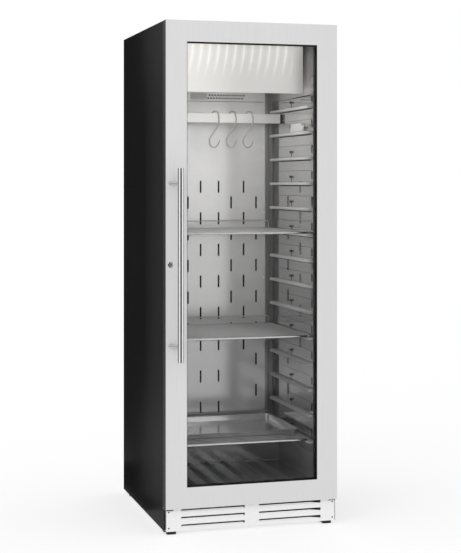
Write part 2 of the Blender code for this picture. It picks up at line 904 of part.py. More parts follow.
def fan_frame(name, centre, axis, material):
    """A square fan body with a round throat, three struts and a motor mount on the far side."""
    half = FAN_SIZE / 2
    thick = FAN_THICKNESS / 2

    def lay(a, b, c):
        """Across, across and along the fan's axis."""
        x, y, z = centre
        return (x + a, y + c, z + b) if axis == "Y" else (x + a, y + b, z + c)

    def lay_box(low, high):
        first, second = lay(*low), lay(*high)
        return tuple(map(min, first, second)), tuple(map(max, first, second))

    body = box(name, *lay_box((-half, -half, -thick), (half, half, thick)), material)
    throat = rod(f"{name}_throat", lay(0, 0, -thick - OVERRUN), lay(0, 0, thick + OVERRUN), FAN_HOLE_RADIUS, FINE_SIDES)
    mount = rod(f"{name}_mount", lay(0, 0, thick - FAN_MOUNT), lay(0, 0, thick), FAN_HUB_RADIUS, ROUND_SIDES)

    struts = []
    for index in range(FAN_STRUTS):
        mesh = mesh_of(f"{name}_strut", lambda bm: None)
        bm = bmesh.new()
        low, high = lay_box(
            (-FAN_STRUT_WIDTH / 2, FAN_HUB_RADIUS / 2, thick - FAN_MOUNT),
            (FAN_STRUT_WIDTH / 2, FAN_HOLE_RADIUS + FAN_MOUNT / 2, thick),
        )
        verts = put_box(bm, low, high)
        turn = Matrix.Rotation(math.radians(360 * index / FAN_STRUTS), 3, axis)
        bmesh.ops.rotate(bm, cent=centre, matrix=turn, verts=verts)
        bmesh.ops.recalc_face_normals(bm, faces=bm.faces)
        bm.to_mesh(mesh)
        bm.free()
        struts.append(add_object(f"{name}_strut_{index + 1}", mesh))
    return join(cut(body, throat), mount, *struts)


def fan_rotor(name, centre, axis, material):
    """A hub with pitched blades, turning just in front of the mount."""
    thick = FAN_THICKNESS / 2
    top = thick - FAN_MOUNT - GAP
    x, y, z = centre
    tip = FAN_HOLE_RADIUS - FAN_BLADE_TIP_GAP
    chord = FAN_THICKNESS - FAN_MOUNT - RUNNING_GAP

    def along(level):
        return (x, y + level, z) if axis == "Y" else (x, y, z + level)

    hub = rod(name, along(-thick), along(top), FAN_HUB_RADIUS, ROUND_SIDES, material)
    mesh = bpy.data.meshes.new(f"{name}_blades")
    bm = bmesh.new()
    middle = (top - thick) / 2
    for index in range(FAN_BLADES):
        verts = put_box(
            bm,
            (-FAN_BLADE_THICKNESS / 2, FAN_HUB_RADIUS / 2, -chord / 2 + GAP),
            (FAN_BLADE_THICKNESS / 2, tip, chord / 2 - GAP),
        )
        pitch = Matrix.Rotation(math.radians(FAN_BLADE_DEGREES), 3, "Y")
        bmesh.ops.rotate(bm, cent=(0, 0, 0), matrix=pitch, verts=verts)
        bmesh.ops.rotate(
            bm, cent=(0, 0, 0), matrix=Matrix.Rotation(math.radians(360 * index / FAN_BLADES), 3, "Z"), verts=verts
        )
    if axis == "Y":
        bmesh.ops.rotate(bm, cent=(0, 0, 0), matrix=Matrix.Rotation(math.radians(-90), 3, "X"), verts=bm.verts)
    bmesh.ops.translate(bm, vec=along(middle), verts=bm.verts)
    bmesh.ops.recalc_face_normals(bm, faces=bm.faces)
    bm.to_mesh(mesh)
    bm.free()
    return join(hub, add_object(f"{name}_blades", mesh))


def open_pan(name, low, high, wall, material):
    """A shallow tray with an open top."""
    pan = box(name, low, high, material)
    inside = box(
        f"{name}_inside",
        (low[0] + wall, low[1] + wall, low[2] + wall),
        (high[0] - wall, high[1] - wall, high[2] + OVERRUN),
    )
    return cut(pan, inside)


def machine_room():
    pan_z = base_z + SHEET + GAP
    middle_y = machine_middle_y
    compressor()
    coil(
        "condenser_coil",
        (condenser_x, middle_y, pan_z + CONDENSER_HEIGHT / 2),
        CONDENSER_LENGTH,
        CONDENSER_DEPTH,
        CONDENSER_HEIGHT,
        COPPER,
    )
    fan_centre = (condenser_x, middle_y, pan_z + CONDENSER_HEIGHT + GAP + FAN_THICKNESS / 2)
    fan_frame("condenser_fan_frame", fan_centre, "Z", BLACK_PLASTIC)
    fan_rotor("condenser_fan_rotor", fan_centre, "Z", BLACK_PLASTIC)
    tray_y = machine_y - CONDENSATE_TRAY_DEPTH - FOLD
    open_pan(
        "condensate_tray",
        (-CONDENSATE_TRAY_LENGTH / 2, tray_y, pan_z),
        (CONDENSATE_TRAY_LENGTH / 2, tray_y + CONDENSATE_TRAY_DEPTH, pan_z + CONDENSATE_TRAY_HEIGHT),
        RACK_SHEET,
        BLACK_PLASTIC,
    )
    module = box(
        "control_module",
        (-MODULE_LENGTH / 2, middle_y - MODULE_DEPTH / 2, machine_z - GAP - MODULE_HEIGHT),
        (MODULE_LENGTH / 2, middle_y + MODULE_DEPTH / 2, machine_z - GAP),
        WHITE_PLASTIC,
    )
    bevel(module, MODULE_HEIGHT / SMALL_SIDES)
    machine_cover()


def machine_cover():
    """The rear grille of the machine room, with the gland that the mains lead comes out of."""
    reach = skin_x - MACHINE_COVER_INSET
    low, high = base_z + SHEET + GAP, machine_z - GAP
    cover = box("machine_cover", (-reach, rear_panel_y, low), (reach, rear_panel_y + SHEET, high), ZINC)
    middle = (low + high) / 2
    pairs = []
    span = COVER_SLOT_PITCH * (COVER_SLOT_ROWS - 1) / 2
    for row in range(COVER_SLOT_ROWS):
        z = middle - span + COVER_SLOT_PITCH * row
        for sign in (-1, 1):
            centre = sign * (COVER_SLOT_LENGTH / 2 + FOLD)
            pairs.append(
                (
                    (centre - COVER_SLOT_LENGTH / 2, rear_panel_y - OVERRUN, z - COVER_SLOT_HEIGHT / 2),
                    (centre + COVER_SLOT_LENGTH / 2, rear_panel_y + SHEET + OVERRUN, z + COVER_SLOT_HEIGHT / 2),
                )
            )
    gland_x = reach - GLAND_RADIUS - FOLD
    hole = rod(
        "machine_cover_hole",
        (gland_x, rear_panel_y - OVERRUN, middle),
        (gland_x, rear_panel_y + SHEET + OVERRUN, middle),
        GLAND_RADIUS - GLAND_FLANGE_WALL + GAP,
        ROUND_SIDES,
    )
    cut(cover, boxes("machine_cover_slots", pairs), hole)
    neck = GLAND_RADIUS - GLAND_FLANGE_WALL
    gland = rod(
        "cord_gland",
        (gland_x, rear_panel_y - GLAND_FLANGE, middle),
        (gland_x, rear_panel_y + SHEET + GAP + GLAND_FLANGE, middle),
        neck,
        ROUND_SIDES,
        BLACK_PLASTIC,
    )
    collar = rod(
        "cord_gland_collar",
        (gland_x, rear_panel_y + SHEET + GAP, middle),
        (gland_x, rear_panel_y + SHEET + GAP + GLAND_FLANGE, middle),
        GLAND_RADIUS,
        ROUND_SIDES,
    )
    bore = rod(
        "cord_gland_bore",
        (gland_x, rear_panel_y - GLAND_FLANGE - OVERRUN, middle),
        (gland_x, rear_panel_y + GLAND_LENGTH, middle),
        GLAND_BORE,
        ROUND_SIDES,
    )
    cut(join(gland, collar), bore)


# Inside


def air_duct_panel():
    """The slotted back panel, folded back each side to the liner so that air runs up behind it."""
    reach = duct_x
    rear = liner_rear_y - GAP
    points = [
        (-reach, duct_y),
        (reach, duct_y),
        (reach, rear),
        (reach - SHEET, rear),
        (reach - SHEET, duct_y + SHEET),
        (-reach + SHEET, duct_y + SHEET),
        (-reach + SHEET, rear),
        (-reach, rear),
    ]
    panel = outline("air_duct_panel", points, "Z", step_z + GAP, unit_floor_z - GAP, LINER_STEEL)
    tip = DUCT_SLOT_WIDTH / 2
    slots = []
    top_slot_z = unit_z - DUCT_TOP_SLOT_DROP
    for row in range(int((top_slot_z - step_z) / DUCT_SLOT_PITCH)):
        z = top_slot_z - DUCT_SLOT_PITCH * row
        for column in range(row % 2, DUCT_COLUMNS, 2):
            if row >= DUCT_SPARSE_ROW and column in DUCT_SPARSE_COLUMNS:
                continue
            for sign in (-1, 1):
                slots.append((sign * (DUCT_FIRST_COLUMN + DUCT_COLUMN_PITCH * column), z))

    def build(bm):
        half = DUCT_SLOT_HEIGHT / 2
        for x, z in slots:
            points = [
                (x - tip, z - half + tip),
                (x, z - half),
                (x + tip, z - half + tip),
                (x + tip, z + half - tip),
                (x, z + half),
                (x - tip, z + half - tip),
            ]
            put_outline(bm, points, "Y", duct_y - OVERRUN, duct_y + SHEET + OVERRUN)

    port_low = unit_z + DUCT_HEADER_MARGIN / 2
    port_high = unit_floor_z - DUCT_HEADER_MARGIN
    port_x = DUCT_PORT_INSET - duct_x
    port = box(
        "air_duct_port",
        (port_x, duct_y - OVERRUN, port_low),
        (port_x + DUCT_PORT_LENGTH, duct_y + SHEET + OVERRUN, port_high),
    )
    holes = []
    for row in range(DUCT_HOLE_ROWS):
        z = port_low + DUCT_HOLE_PITCH * (row + 1 / 2)
        for column in range(DUCT_HOLE_COLUMNS):
            x = port_x + DUCT_PORT_LENGTH + DUCT_HOLE_PITCH * (column + (row + 1) / 2)
            holes.append(((x, duct_y - OVERRUN, z), (x, duct_y + SHEET + OVERRUN, z), DUCT_HOLE_RADIUS))
    slots = add_object("air_duct_slots", mesh_of("air_duct_slots", build))
    return cut(panel, slots, port, rods("air_duct_holes", holes, SHELF_WIRE_SIDES))


def air_unit():
    """The housing under the ceiling: a bright plate that hangs lower in front of a floor with the fan grille and holes."""
    reach = unit_x
    rear = liner_rear_y - GAP
    top = ceiling_z - GAP
    housing = box("air_unit_housing", (-reach, unit_y, unit_z), (reach, rear, top), LINER_STEEL)
    below = box(
        "air_unit_below",
        (-reach - OVERRUN, unit_y + SHEET, unit_z - OVERRUN),
        (reach + OVERRUN, rear + OVERRUN, unit_floor_z),
    )
    inside = box(
        "air_unit_inside",
        (-reach + SHEET, unit_y + SHEET, unit_floor_z + SHEET),
        (reach - SHEET, rear + OVERRUN, top + OVERRUN),
    )
    fan_x = -reach + FAN_SIZE / 2 + FOLD
    fan_y = unit_y + SHEET + FAN_SIZE / 2 + FOLD
    grille = []
    for index in range(UNIT_FAN_GRILLE_SLOTS):
        y = fan_y + UNIT_FAN_GRILLE_PITCH * (index - (UNIT_FAN_GRILLE_SLOTS - 1) / 2)
        grille.append(
            (
                (fan_x - UNIT_FAN_GRILLE_LENGTH / 2, y - UNIT_FAN_GRILLE_SLOT / 2, unit_floor_z - OVERRUN),
                (fan_x + UNIT_FAN_GRILLE_LENGTH / 2, y + UNIT_FAN_GRILLE_SLOT / 2, unit_floor_z + SHEET + OVERRUN),
            )
        )
    holes = []
    first_x = fan_x + FAN_SIZE / 2 + FOLD
    for row in range(UNIT_INTAKE_ROWS):
        for column in range(UNIT_INTAKE_COLUMNS):
            x = first_x + UNIT_HOLE_PITCH * column
            y = fan_y + UNIT_HOLE_PITCH * (row - (UNIT_INTAKE_ROWS - 1) / 2)
            holes.append(((x, y, unit_floor_z - OVERRUN), (x, y, unit_floor_z + SHEET + OVERRUN), UNIT_HOLE_RADIUS))
    port = box(
        "air_unit_duct_port",
        (-reach + UNIT_PORT_MARGIN, duct_y + SHEET + UNIT_PORT_EDGE, unit_floor_z - OVERRUN),
        (reach - UNIT_PORT_MARGIN, rear - UNIT_PORT_EDGE, unit_floor_z + SHEET + OVERRUN),
    )
    cut(housing, below, inside, port, boxes("air_unit_grille", grille), rods("air_unit_holes", holes, WIRE_SIDES))
    fan_centre = (fan_x, fan_y, unit_floor_z + SHEET + GAP + FAN_THICKNESS / 2)
    fan_frame("evaporator_fan_frame", fan_centre, "Z", BLACK_PLASTIC)
    fan_rotor("evaporator_fan_rotor", fan_centre, "Z", BLACK_PLASTIC)
    coil(
        "evaporator_coil",
        (0, unit_y + EVAPORATOR_SETBACK + EVAPORATOR_DEPTH / 2, unit_floor_z + SHEET + GAP + EVAPORATOR_HEIGHT / 2),
        EVAPORATOR_LENGTH,
        EVAPORATOR_DEPTH,
        EVAPORATOR_HEIGHT,
        ALUMINIUM,
    )


def light_strip():
    """The light under the front of the ceiling, with its row of diodes."""
    y = face_y + LIGHT_SETBACK
    top = ceiling_z - GAP
    low = top - LIGHT_HEIGHT
    reach = inner_x - LIGHT_SIDE_GAP
    strip = box("light_strip", (-reach, y, low), (reach, y + LIGHT_DEPTH, top), LENS)
    rows = []
    count = int(2 * reach / LIGHT_DIODE_PITCH - 1 / 2)
    for index in range(count):
        x = LIGHT_DIODE_PITCH * (index - (count - 1) / 2)
        rows.append(
            ((x, y + LIGHT_DEPTH / 2, low + LIGHT_DIODE_DROP), (x, y + LIGHT_DEPTH / 2, low - LIGHT_DIODE_DROP), LIGHT_DIODE_RADIUS)
        )
    return join(strip, rods("light_strip_diodes", rows, WIRE_SIDES))


def rack_ledge_top(index):
    """The top of a ledge, counted from the highest, which is 0."""
    return top_ledge_z - RACK_LEDGE_PITCH * index


def side_rack(side, sign):
    """A ladder sheet on the side wall with a pressed ledge for each shelf height."""
    wall = rack_x
    face = wall - RACK_SHEET
    tip = face - RACK_LEDGE_REACH
    bottom, top = rack_ledge_top(ledge_count - 1) - RACK_TAIL, rack_top_z
    points = [(wall, top), (wall, bottom), (face, bottom)]
    for index in reversed(range(ledge_count)):
        high = rack_ledge_top(index)
        low = high - RACK_LEDGE_HEIGHT
        points += [(face, low), (tip, low + RACK_LEDGE_LIP), (tip, high), (face, high)]
    points.append((face, top))
    points = [(sign * x, z) for x, z in points]
    rack = outline(f"side_rack_{side}", points, "Y", face_y + RACK_FRONT, face_y + RACK_REAR, LINER_STEEL)
    low, high = sorted((sign * (tip - OVERRUN), sign * (wall + OVERRUN)))
    notch = box(
        f"side_rack_{side}_notch",
        (low, step_y - GAP, bottom - OVERRUN),
        (high, face_y + RACK_REAR + OVERRUN, step_z + GAP),
    )
    return cut(rack, notch)


def hanging_bar():
    """The flat bar between the racks that the hooks hang on, with a screw flange at each end."""
    y = face_y + BAR_SETBACK
    top, low = bar_top_z, bar_top_z - BAR_HEIGHT
    reach = rack_x - RACK_SHEET - GAP
    bar = box(
        "hanging_bar",
        (-reach, y - BAR_THICKNESS / 2, low),
        (reach, y + BAR_THICKNESS / 2, top),
        WIRE_STEEL,
    )
    ends = boxes(
        "hanging_bar_ends",
        [
            (
                (min(sign * reach, sign * (reach - BAR_END_PLATE)), y, low),
                (max(sign * reach, sign * (reach - BAR_END_PLATE)), y + BAR_THICKNESS / 2 + BAR_END_FLANGE, top),
            )
            for sign in (-1, 1)
        ],
    )
    return join(bar, ends)


def meat_hook(index):
    """A bent wire hook: over the bar, down its front, then a wide bowl turned across the bar."""
    x = HOOK_FIRST + HOOK_PITCH * index
    y = face_y + BAR_SETBACK
    top = bar_top_z
    off = BAR_THICKNESS / 2 + HOOK_WIRE_RADIUS + 2 * GAP
    bottom = top + off + HOOK_WIRE_RADIUS - HOOK_HEIGHT
    bowl = HOOK_BOWL_WIDTH / 2
    centre = x - HOOK_LEAN + bowl
    over = arc((0, 0), off, 180, 0, 2 * CORNER_STEPS)
    points = [Vector((x, y - across, top + rise)) for across, rise in over]
    points.insert(0, Vector((x, y + off, top - HOOK_BACK_DROP)))
    front = y - off
    under = top - BAR_HEIGHT - HOOK_WIRE_RADIUS - GAP
    bend = smooth_run(
        [
            (x, front, top - BAR_HEIGHT / 2),
            (x - HOOK_LEAN / 8, front, under),
            (x - HOOK_LEAN / 2, front + off / 2, (under + bottom + HOOK_TIP_RISE) / 2),
            (x - HOOK_LEAN, y, bottom + HOOK_TIP_RISE),
        ],
        2,
    )
    bowl_points = [
        Vector((centre + px, y, bottom + HOOK_WIRE_RADIUS + bowl + pz))
        for px, pz in arc((0, 0), bowl, 190, 345, 2 * CORNER_STEPS)
    ]
    tip = Vector((centre + bowl + HOOK_WIRE_RADIUS, y, bottom + HOOK_TIP_RISE + HOOK_WIRE_RADIUS))
    return tube(f"meat_hook_{index + 1}", [*points, *bend, *bowl_points, tip], HOOK_WIRE_RADIUS, 1, CHROME)


def wire_shelf(name, ledge):
    """A welded wire shelf: a rod frame, supports front to back, cross wires and a raised rear stop."""
    z = rack_ledge_top(ledge) + GAP + SHELF_ROD_RADIUS
    front, rear = face_y + SHELF_FRONT, face_y + SHELF_REAR
    reach = rack_x - RACK_SHEET - SHELF_SIDE_GAP - SHELF_ROD_RADIUS
    turn = SHELF_CORNER_RADIUS
    corners = [
        ((reach - turn, rear - turn), 0),
        ((-reach + turn, rear - turn), 90),
        ((-reach + turn, front + turn), 180),
        ((reach - turn, front + turn), 270),
    ]
    points = []
    for centre, start in corners:
        points += [(px, py, z) for px, py in arc(centre, turn, start, start + 90, CORNER_STEPS)]
    frame = tube(name, points, SHELF_ROD_RADIUS, 1, WIRE_STEEL, cyclic=True)
    rows = []
    span = rear - front - 2 * turn
    wire_z = z + SHELF_ROD_RADIUS / 2
    for index in range(SHELF_WIRES):
        y = front + turn + span * index / (SHELF_WIRES - 1)
        rows.append(((-reach, y, wire_z), (reach, y, wire_z), SHELF_WIRE_RADIUS))
    wires = rods(f"{name}_wires", rows, SHELF_WIRE_SIDES)
    support_z = wire_z - 2 * SHELF_WIRE_RADIUS + GAP
    supports = rods(
        f"{name}_supports",
        [
            ((sign * SHELF_SUPPORT_SPREAD, front, support_z), (sign * SHELF_SUPPORT_SPREAD, rear, support_z), SHELF_WIRE_RADIUS)
            for sign in (-1, 1)
        ],
        SHELF_WIRE_SIDES,
    )
    stop = [
        (-reach + turn, rear, z),
        (-reach + turn, rear, z + SHELF_STOP_HEIGHT),
        (reach - turn, rear, z + SHELF_STOP_HEIGHT),
        (reach - turn, rear, z),
    ]
    return join(frame, wires, supports, tube(f"{name}_stop", stop, SHELF_WIRE_RADIUS, 0))


def drip_tray():
    """A pressed tray with sloping walls, a rolled lip and a drain hole, standing on the lowest shelf."""
    z = rack_ledge_top(ledge_count - 1) + GAP + 2 * SHELF_ROD_RADIUS + GAP
    reach = rack_x - RACK_SHEET - RACK_LEDGE_REACH - SHELF_SIDE_GAP
    front, rear = face_y + TRAY_FRONT, face_y + TRAY_REAR
    top = z + TRAY_HEIGHT

    def loft(bm, grow, low, high):
        low_ring = [(-reach + TRAY_LIP + TRAY_TAPER - grow, front + TRAY_LIP + TRAY_TAPER - grow),
                    (reach - TRAY_LIP - TRAY_TAPER + grow, front + TRAY_LIP + TRAY_TAPER - grow),
                    (reach - TRAY_LIP - TRAY_TAPER + grow, rear - TRAY_LIP - TRAY_TAPER + grow),
                    (-reach + TRAY_LIP + TRAY_TAPER - grow, rear - TRAY_LIP - TRAY_TAPER + grow)]
        slope = TRAY_TAPER * (high - low) / TRAY_HEIGHT
        signs = [(-1, -1), (1, -1), (1, 1), (-1, 1)]
        bottom = [bm.verts.new((x, y, low)) for x, y in low_ring]
        upper = [bm.verts.new((x + sx * slope, y + sy * slope, high)) for (x, y), (sx, sy) in zip(low_ring, signs)]
        bm.faces.new(bottom[::-1])
        bm.faces.new(upper)
        for index in range(4):
            after = (index + 1) % 4
            bm.faces.new((bottom[index], bottom[after], upper[after], upper[index]))

    outer = add_object("drip_tray", mesh_of("drip_tray", lambda bm: loft(bm, 0, z, top)), LINER_STEEL)
    lip = box("drip_tray_lip", (-reach, front, top - SHEET), (reach, rear, top))
    inner = add_object(
        "drip_tray_inside",
        mesh_of("drip_tray_inside", lambda bm: loft(bm, -SHEET, z + SHEET, top + OVERRUN)),
    )
    drain = rod(
        "drip_tray_drain",
        (TRAY_DRAIN_SHIFT, (front + rear) / 2, z - OVERRUN),
        (TRAY_DRAIN_SHIFT, (front + rear) / 2, z + OVERRUN),
        TRAY_DRAIN_RADIUS,
        ROUND_SIDES,
    )
    return cut(join(outer, lip), inner, drain)


def corrugated_floor():
    """The ribbed floor sheet that lies on the liner, ridges running front to back."""
    reach = inner_x - GAP
    low = floor_z + GAP
    top_half, foot_half = FLOOR_RIDGE_TOP / 2, FLOOR_RIDGE_FOOT / 2
    upper = [(-reach, low + SHEET)]
    lower = [(-reach, low)]
    for index in range(FLOOR_RIDGES):
        x = FLOOR_RIDGE_PITCH * (index - (FLOOR_RIDGES - 1) / 2)
        for shift, rise in (
            (-foot_half, 0),
            (-top_half, FLOOR_RIDGE_HEIGHT),
            (top_half, FLOOR_RIDGE_HEIGHT),
            (foot_half, 0),
        ):
            upper.append((x + shift, low + SHEET + rise))
            lean = SHEET / 2 if rise else 0
            lower.append((x + shift - math.copysign(lean, shift), low + rise))
    upper.append((reach, low + SHEET))
    lower.append((reach, low))
    return outline(
        "corrugated_floor", lower + upper[::-1], "Y", face_y + FLOOR_FRONT, step_y - GAP, LINER_STEEL
    )


def wall_parts():
    """The air sensor on the right rack and the door sensor above it."""
    face = rack_x - RACK_SHEET - GAP
    low = rack_ledge_top(0) + GAP
    y = face_y + SENSOR_FRONT
    points = [
        (y, low),
        (y + SENSOR_LENGTH, low),
        (y + SENSOR_LENGTH - SENSOR_SLANT / 2, low + SENSOR_HEIGHT),
        (y + SENSOR_SLANT, low + SENSOR_HEIGHT),
        (y + SENSOR_SLANT / 4, low + SENSOR_HEIGHT / 2),
    ]
    sensor = outline("air_sensor", points, "X", face - SENSOR_DEPTH, face, WHITE_PLASTIC)
    bevel(sensor, SENSOR_DEPTH / SMALL_SIDES)
    wall = inner_x - GAP
    z = unit_z + SWITCH_RISE
    switch_y = face_y + SWITCH_SETBACK
    switch = box(
        "door_sensor",
        (wall - SWITCH_SIZE / 2, switch_y, z - SWITCH_LENGTH / 2),
        (wall, switch_y + SWITCH_SIZE, z + SWITCH_LENGTH / 2),
        WHITE_PLASTIC,
    )
    bevel(switch, SWITCH_SIZE / SMALL_SIDES)


# Door


def door_skin():
    """The flat stainless frame on the face of the door."""
    skin = ring_box(
        "door_skin",
        (-half_width, face_y, door_z),
        (half_width, face_y + SHEET, top_z),
        (-opening_x, opening_bottom),
        (opening_x, opening_top),
        DOOR_STEEL,
    )
    return cut(skin, lock_hole("door_skin_hole", LOCK_BARREL_RADIUS + GAP))


def lock_hole(name, radius):
    x, z = LOCK_INSET - half_width, base_z + LOCK_HEIGHT
    return rod(name, (x, face_y - OVERRUN, z), (x, door_back_y + OVERRUN, z), radius, FINE_SIDES)


def bush_cutter(name, low, high):
    radius = HINGE_PIN_RADIUS + PIN_PLAY + BUSH_WALL + GAP
    return rod(name, (hinge_x, hinge_y, low), (hinge_x, hinge_y, high), radius, ROUND_SIDES)


def door_core():
    """The black door body, rebated for the glass, bored for the lock and the bushes, and pocketed for the top hinge."""
    front = face_y + SHEET + GAP
    core = ring_box(
        "door_core",
        (-half_width, front, door_z),
        (half_width, door_back_y, top_z),
        (-opening_x, opening_bottom),
        (opening_x, opening_top),
        BLACK_PLASTIC,
    )
    rebate_back = front + 2 * PANE + PANE_SPACE + 3 * GAP
    rebate = box(
        "door_core_rebate",
        (-opening_x - REBATE, front - OVERRUN, opening_bottom - REBATE),
        (opening_x + REBATE, rebate_back, opening_top + REBATE),
    )
    pocket = box(
        "door_core_pocket",
        (hinge_x - LEAF_INNER_REACH - LEAF_POCKET_MARGIN, front + RUNNING_GAP, pocket_z),
        (half_width + OVERRUN, door_back_y + OVERRUN, top_z + OVERRUN),
    )
    depth = HINGE_PIN_LENGTH + RUNNING_GAP
    lower = bush_cutter("door_core_lower_bore", door_z - OVERRUN, door_z + depth)
    upper = bush_cutter("door_core_upper_bore", pocket_z - depth, pocket_z + OVERRUN)
    return cut(core, rebate, pocket, lower, upper, lock_hole("door_core_lock_bore", LOCK_BARREL_RADIUS + GAP))


def door_glass():
    """Two panes with a spacer between them, held in the door's rebate."""
    reach = opening_x + REBATE - GAP
    low, high = opening_bottom - REBATE + GAP, opening_top + REBATE - GAP
    front = face_y + SHEET + 2 * GAP
    box("glass_outer", (-reach, front, low), (reach, front + PANE, high), GLASS)
    spacer = front + PANE + GAP
    ring_box(
        "glass_spacer",
        (-reach, spacer, low),
        (reach, spacer + PANE_SPACE - 2 * GAP, high),
        (-reach + SPACER_WIDTH, low + SPACER_WIDTH),
        (reach - SPACER_WIDTH, high - SPACER_WIDTH),
        BLACK_PLASTIC,
    )
    inner = spacer + PANE_SPACE - GAP
    box("glass_inner", (-reach, inner, low), (reach, inner + PANE, high), GLASS)


def door_gasket():
    """The magnetic seal on the back of the door."""
    near = half_width - GASKET_INSET
    far = near - GASKET_WIDTH
    low, high = door_z + GASKET_INSET, top_z - GASKET_INSET
    return ring_box(
        "door_gasket",
        (-near, door_back_y + GAP, low),
        (near, front_y - GAP, high),
        (-far, low + GASKET_WIDTH),
        (far, high - GASKET_WIDTH),
        RUBBER,
    )


def handle():
    """A round bar on two leaning posts, bolted near the door's free edge."""
    bar_x = HANDLE_BAR_INSET - half_width
    bar_y = face_y - HANDLE_STANDOFF
    low = base_z + HANDLE_BAR_BOTTOM
    high = low + HANDLE_BAR_LENGTH
    bar = rod("handle_bar", (bar_x, bar_y, low), (bar_x, bar_y, high), HANDLE_BAR_RADIUS, FINE_SIDES, CHROME)
    bevel(bar, HANDLE_BAR_RADIUS / SMALL_SIDES)
    post_x = HANDLE_POST_INSET - half_width
    clear = boxes(
        "handle_post_trim",
        [((-half_width, face_y - GAP, low), (0, face_y + BODY_DEPTH, high))],
    )
    grow = HANDLE_BAR_RADIUS + GAP
    bar_space = rod("handle_bar_space", (bar_x, bar_y, low - OVERRUN), (bar_x, bar_y, high + OVERRUN), grow, FINE_SIDES)
    for place, z in (("upper", high - HANDLE_POST_END_OFFSET), ("lower", low + HANDLE_POST_END_OFFSET)):
        start = Vector((post_x, face_y, z))
        end = Vector((bar_x, bar_y, z))
        lead = (end - start).normalized() * HANDLE_POST_RADIUS
        post = rod(f"handle_post_{place}", start - lead, end, HANDLE_POST_RADIUS, ROUND_SIDES, CHROME)
        cut(post, clear, bar_space)


def lock():
    """The lock: a barrel in the door, a plug with its key slot, a cam behind the door and a keeper on the cabinet."""
    x, z = LOCK_INSET - half_width, base_z + LOCK_HEIGHT
    collar_front = face_y - GAP - LOCK_COLLAR
    barrel_back = door_back_y
    barrel = rod("lock_barrel", (x, face_y - GAP - LOCK_COLLAR / 2, z), (x, barrel_back, z), LOCK_BARREL_RADIUS, FINE_SIDES, CHROME)
    collar = rod("lock_collar", (x, collar_front, z), (x, face_y - GAP, z), LOCK_COLLAR_RADIUS, FINE_SIDES)
    bore = rod(
        "lock_bore", (x, collar_front - OVERRUN, z), (x, barrel_back + OVERRUN, z), LOCK_PLUG_RADIUS + GAP, FINE_SIDES
    )
    cut(join(barrel, collar), bore)
    cam_front = door_back_y + 2 * KEEPER_THICKNESS
    cam_back = cam_front + LOCK_CAM_THICKNESS
    plug = rod("lock_plug", (x, collar_front - GAP, z), (x, barrel_back, z), LOCK_PLUG_RADIUS, FINE_SIDES, CHROME)
    shaft = rod("lock_plug_shaft", (x, barrel_back - LOCK_COLLAR, z), (x, cam_front - GAP, z), LOCK_SHAFT_RADIUS, ROUND_SIDES)
    key_half = LOCK_PLUG_RADIUS / 2
    slot = box(
        "lock_key_slot",
        (x - key_half / 4, collar_front - OVERRUN, z - key_half),
        (x + key_half / 4, collar_front + 2 * LOCK_COLLAR, z + key_half),
    )
    cut(join(plug, shaft), slot)
    half = LOCK_CAM_HALF_WIDTH
    points = [(x + px, z + pz) for px, pz in arc((0, 0), half, 0, 180, 2 * CORNER_STEPS)]
    points += [(x - half, z - LOCK_CAM_REACH), (x + half, z - LOCK_CAM_REACH)]
    outline("lock_cam", points, "Y", cam_front, cam_back, ZINC)
    keeper_low = x + half + RUNNING_GAP / 2
    wall = front_y - GAP
    step = half + KEEPER_THICKNESS
    lip = door_back_y + RUNNING_GAP / 2
    points = [
        (wall, z + step),
        (wall, z + step + KEEPER_FOOT),
        (wall - KEEPER_THICKNESS, z + step + KEEPER_FOOT),
        (wall - KEEPER_THICKNESS, z + step + KEEPER_THICKNESS),
        (lip, z + step + KEEPER_THICKNESS),
        (lip, z - half / 2),
        (lip + KEEPER_THICKNESS, z - half / 2),
        (lip + KEEPER_THICKNESS, z + step),
    ]
    outline("lock_keeper", points, "X", keeper_low, keeper_low + KEEPER_WIDTH, ZINC)


def hinge_bracket(place, leaf_low, pin_start, pin_end, leg_low, leg_high):
    """A leaf with a rounded nose round its pin, and a leg screwed to the cabinet's front rim."""
    wall = front_y - GAP
    nose = arc((hinge_x, hinge_y), LEAF_HALF_WIDTH, 0, -90, CORNER_STEPS)
    points = [
        (hinge_x + LEAF_HALF_WIDTH, wall),
        *nose,
        (hinge_x - LEAF_INNER_REACH, hinge_y - LEAF_HALF_WIDTH),
        (hinge_x - LEAF_INNER_REACH, wall),
    ]
    leaf = outline(f"hinge_{place}", points, "Z", leaf_low, leaf_low + LEAF_THICKNESS, ZINC)
    leg = box(
        f"hinge_{place}_leg",
        (hinge_x - LEAF_INNER_REACH, wall - LEAF_LEG_THICKNESS, leg_low),
        (hinge_x + LEAF_HALF_WIDTH, wall, leg_high),
    )
    pin = rod(
        f"hinge_{place}_pin", (hinge_x, hinge_y, pin_start), (hinge_x, hinge_y, pin_end), HINGE_PIN_RADIUS, ROUND_SIDES
    )
    return join(leaf, leg, pin)


def bush(place, flange_low, body_low, body_high):
    """A flanged plastic bush that the pin turns in."""
    outer = HINGE_PIN_RADIUS + PIN_PLAY + BUSH_WALL
    body = rod(f"hinge_bush_{place}", (hinge_x, hinge_y, body_low), (hinge_x, hinge_y, body_high), outer, ROUND_SIDES, BLACK_PLASTIC)
    flange = rod(
        f"hinge_bush_{place}_flange",
        (hinge_x, hinge_y, flange_low),
        (hinge_x, hinge_y, flange_low + BUSH_FLANGE),
        HINGE_PIN_RADIUS + BUSH_FLANGE_WALL,
        ROUND_SIDES,
    )
    bore = rod(
        f"hinge_bush_{place}_bore",
        (hinge_x, hinge_y, body_low - OVERRUN),
        (hinge_x, hinge_y, body_high + OVERRUN),
        HINGE_PIN_RADIUS + PIN_PLAY,
        ROUND_SIDES,
    )
    return cut(join(body, flange), bore)


